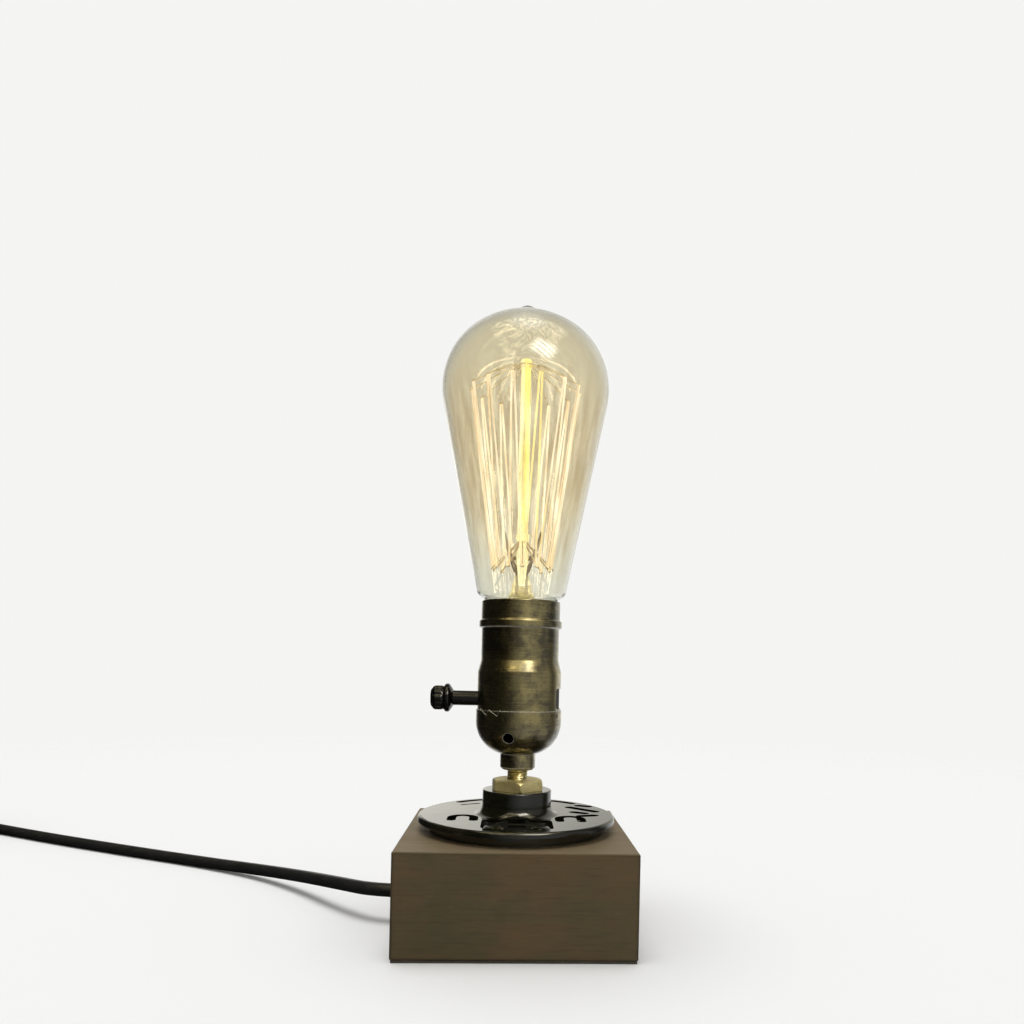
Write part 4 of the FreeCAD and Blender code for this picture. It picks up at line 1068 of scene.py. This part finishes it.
def cageTree(tree, size):
    # one wire up and down between two rings of hooks, with two points to each bend
    line = tree.node("GeometryNodeMeshLine", {"Count": size["points"], "Offset": (0.0, 0.0, 0.0)})
    number = tree.node("GeometryNodeInputIndex")
    bend = (number * 0.5).maths("FLOOR")
    side = (number % 2.0) * 2.0 - 1.0
    upper = bend % 2.0
    radius = size["lowRadius"] + upper * (size["highRadius"] - size["lowRadius"])
    height = size["lowHeight"] + upper * (size["highHeight"] - size["lowHeight"])
    azimuth = (size["firstAzimuth"] + bend * size["step"]) * math.radians(1.0)
    azimuth = azimuth + side * size["bendWidth"] / radius
    x = azimuth.maths("COSINE") * radius
    y = azimuth.maths("SINE") * radius
    bent = tree.node("GeometryNodeSetPosition", {"Geometry": line, "Position": tree.joined(x, y, height)})
    path = tree.node("GeometryNodeMeshToCurve", {0: bent})
    inputs = {"Curve": path, "Radius": size["bendRound"], "Count": 5, "Limit Radius": True}
    soft = tree.node("GeometryNodeFilletCurve", inputs, {"mode": "POLY"})
    ring = tree.node("GeometryNodeCurvePrimitiveCircle", {"Resolution": 8, "Radius": size["wire"]})
    return tree.node("GeometryNodeCurveToMesh", {"Curve": soft, "Profile Curve": ring, "Fill Caps": True})


def hookPoints(hub, tip, loop, bow):
    # a straight wire that ends in an open eye round the filament's bend
    out = (tip - hub).normalized()
    across = Vector((-out.y, out.x, 0.0)).normalized()
    points = [hub + out * 1.6, hub.lerp(tip, 0.5) + up * bow, tip - out * loop * 1.6]
    for k in range(7):
        a = math.radians(-90.0 + 45.0 * k)
        points.append(tip + across * (loop * math.cos(a)) + out * (loop * math.sin(a)))
    return points


hookSizes = {
    "wire": 0.26, "eye": 0.75, "bow": 1.3,
    "highHub": 218.0, "lowHub": 150.0,
    "leadWire": 0.48,
    "leadRoute": [
        (1.3, 0.0, 127.0), (2.0, -0.5, 138.0), (3.2, -1.4, 140.2), (4.2, -0.6, 142.2), (3.0, 0.6, 143.2),
        (2.6, -0.4, 141.2), (4.4, -1.0, 143.0), (6.6, 0.0, 150.0), (7.4, 2.0, 153.5), (6.6, 6.0, 148.0),
    ],
}


def makeFilament(cage, sizes):
    wire = grown("glowing_filament", cage, cageTree, glow)
    wire.data.shade_smooth()
    placed(wire, "bulb", "filament_wire", glow, "filament")
    step = 2.0 * cage["step"]

    def tip(ring, azimuth):
        return atAzimuth(azimuth, cage[ring + "Radius"] / mm, cage[ring + "Height"] / mm)

    def hook(ring, azimuth, bow):
        points = hookPoints(up * sizes[ring + "Hub"], tip(ring, azimuth), sizes["eye"], bow)
        return tubeAlong(ring + "_hook", points, sizes["wire"])

    high = hook("high", 90.0 + step, sizes["bow"])
    low = hook("low", 90.0 + step * 1.5, 0.0)
    top = repeated("upper_hooks", high, ringTree, {"copies": 12, "first": 0.0, "step": step}, supportWire)
    foot = repeated("lower_hooks", low, ringTree, {"copies": 11, "first": 0.0, "step": step}, supportWire)
    hooks = joinedPieces("filament_hooks", [top, foot])
    placed(hooks, "bulb", "support_wire", supportWire, "filament_supports")
    leads = []
    for side, azimuth in ((-1, 90.0 + step * 0.5), (1, 90.0 + step * 12.5)):
        points = [Vector((side * along, depth, height)) for along, depth, height in sizes["leadRoute"]]
        points.append(tip("low", azimuth))
        leads.append(tubeAlong("lead_" + str(azimuth), points, sizes["leadWire"]))
    placed(joinedPieces("filament_leads", leads), "bulb", "support_wire", leadWire, "lead_wires")


makeBulbGlass(bulbSizes)
makeThreads(threadSizes)
makeStem(stemSizes)
makeFilament(cageSizes, hookSizes)
print("bulb is blown and wired")


# Socket


switchSizes = {"axis": 87.5, "flutes": 10, "fluteDepth": 0.38, "gripLow": 29.6, "gripHigh": 33.0}


def makeSwitch(sizes):
    def fluted(radius, height, azimuth):
        inGrip = sizes["gripLow"] < height < sizes["gripHigh"] and radius > 4.0
        wave = abs(math.sin(math.radians(azimuth) * sizes["flutes"] / 2.0))
        return radius - (sizes["fluteDepth"] * (1.0 - wave) if inGrip else 0.0), height

    corners = [
        (0.0, 25.4), (3.15, 25.4), (5.5, 27.0, 0.9), (5.5, 28.3, 0.9), (4.4, 29.1, 0.5),
        (4.8, 29.9, 0.4), (4.8, 32.6, 1.4), (3.1, 34.0, 0.9), (0.0, 34.0),
    ]
    laid = Matrix.Translation((0.0, 0.0, sizes["axis"] * mm)) @ Matrix.Rotation(math.radians(-90.0), 4, "Y")
    knob = moved(turnedPiece("turn_knob", corners, 144, fluted, 50.0), laid)
    placed(knob, "switch_key", "black_gloss", gloss, "switch_knob")


dressed("socket_cap", "brass_cup", "antique_brass", antique, 0.16, 2, 30.0, False)
dressed("socket_shell", "brass_sleeve", "antique_brass", antique, 0.12, 2, 30.0)
makeSwitch(switchSizes)
print("socket is dressed")


# Plate, nut and threaded tube


tubeSizes = {
    "low": 14.8, "high": 65.9, "crest": 4.0, "depth": 0.34, "pitch": 1.0, "bore": 2.75,
    "rowsPerTurn": 6,
}


def makeTube(sizes):
    def threaded(radius, height, azimuth):
        if radius < sizes["crest"] - 0.01:
            return radius, height
        wave = abs(((height / sizes["pitch"] - azimuth / 360.0) % 1.0) * 2.0 - 1.0)
        return sizes["crest"] - sizes["depth"] * wave, height

    span = sizes["high"] - sizes["low"]
    count = round(span / sizes["pitch"] * sizes["rowsPerTurn"])
    outline = [(sizes["crest"], sizes["low"] + span * k / count) for k in range(count + 1)]
    outline += [(sizes["bore"], sizes["high"]), (sizes["bore"], sizes["low"])]
    tube = closedSkin(turnedMesh(outline, 48, threaded), "threaded_tube", 50.0)
    placed(tube, "lamp", "bright_brass", brass, "lamp_nipple")


screwSizes = {
    "radius": 4.0, "height": 1.5, "length": 12.0,
    "slotWidth": 0.9, "slotDepth": 0.7, "turn": 25.0,
    "floor": 41.5, "x": 8.5, "y": -24.0,
}


def makePlateScrews(sizes):
    # a domed slotted head on its shank, set twice
    floor, head = sizes["floor"], sizes["height"]
    corners = [
        (0.0, floor - sizes["length"]), (1.6, floor - sizes["length"] + 3.2, 0.2), (1.6, floor),
        (sizes["radius"], floor, 0.1), (sizes["radius"], floor + 0.55, 0.25),
        (sizes["radius"] * 0.62, floor + head * 0.93, 2.6), (0.0, floor + head),
    ]
    screw = turnedPiece("screw", corners, 96)
    cutter = bmesh.new()
    slot = Matrix.Diagonal((3.0 * sizes["radius"], sizes["slotWidth"], 2.0 * sizes["slotDepth"], 1.0))
    turn = Matrix.Rotation(math.radians(sizes["turn"]), 4, "Z")
    top = Matrix.Translation((0.0, 0.0, (floor + head) * mm))
    bmesh.ops.create_cube(cutter, size=mm, matrix=top @ turn @ slot)
    slotBlock = closedSkin(cutter, "slot")
    cut = screw.modifiers.new("slot", "BOOLEAN")
    cut.operation = "DIFFERENCE"
    cut.object = slotBlock
    eased(screw, 0.08, 2, 40.0)
    screw = baked(screw)
    bpy.data.objects.remove(slotBlock)
    places = row(2, (-sizes["x"] * mm, sizes["y"] * mm, 0.0), (2.0 * sizes["x"] * mm, 0.0, 0.0))
    pair = repeated("plate_screws", screw, rowTree, places, enamel)
    pair.data.set_sharp_from_angle(angle=math.radians(35.0))
    placed(pair, "lamp", "black_enamel", enamel, "flange_screws")


makeTube(tubeSizes)
makePlateScrews(screwSizes)
dressed("flange_plate", "enamel_plate", "black_enamel", enamel, 0.35, 3, 30.0)
dressed("hex_nut", "brass_nut", "bright_brass", satinBrass, 0.2, 3, 20.0)
dressed("base_block", "wood_block", "stained_wood", wood, 0.25, 3, 20.0)
print("base is built")


# CAD nodes that keep their shape

for material, nodes in (
    (felt, ["base_felt"]),
    (steel, ["nipple_washer", "nipple_nut", "cap_set_screw"]),
    (fibre, ["shell_liner"]),
    (phenolic, ["switch_body", "switch_cam"]),
    (brass, ["terminal_screws", "centre_contact", "plug_blades"]),
    (gloss, ["switch_stem", "cord_grommet"]),
    (sheath, ["wire_live", "wire_neutral"]),
    (blackGlass, ["bulb_insulator"]),
    (solder, ["bulb_contact"]),
    (flex, ["cord_tie", "plug_body"]),
):
    for node in nodes:
        painted(node, material)


bpy.context.scene.view_settings.view_transform = "Standard"
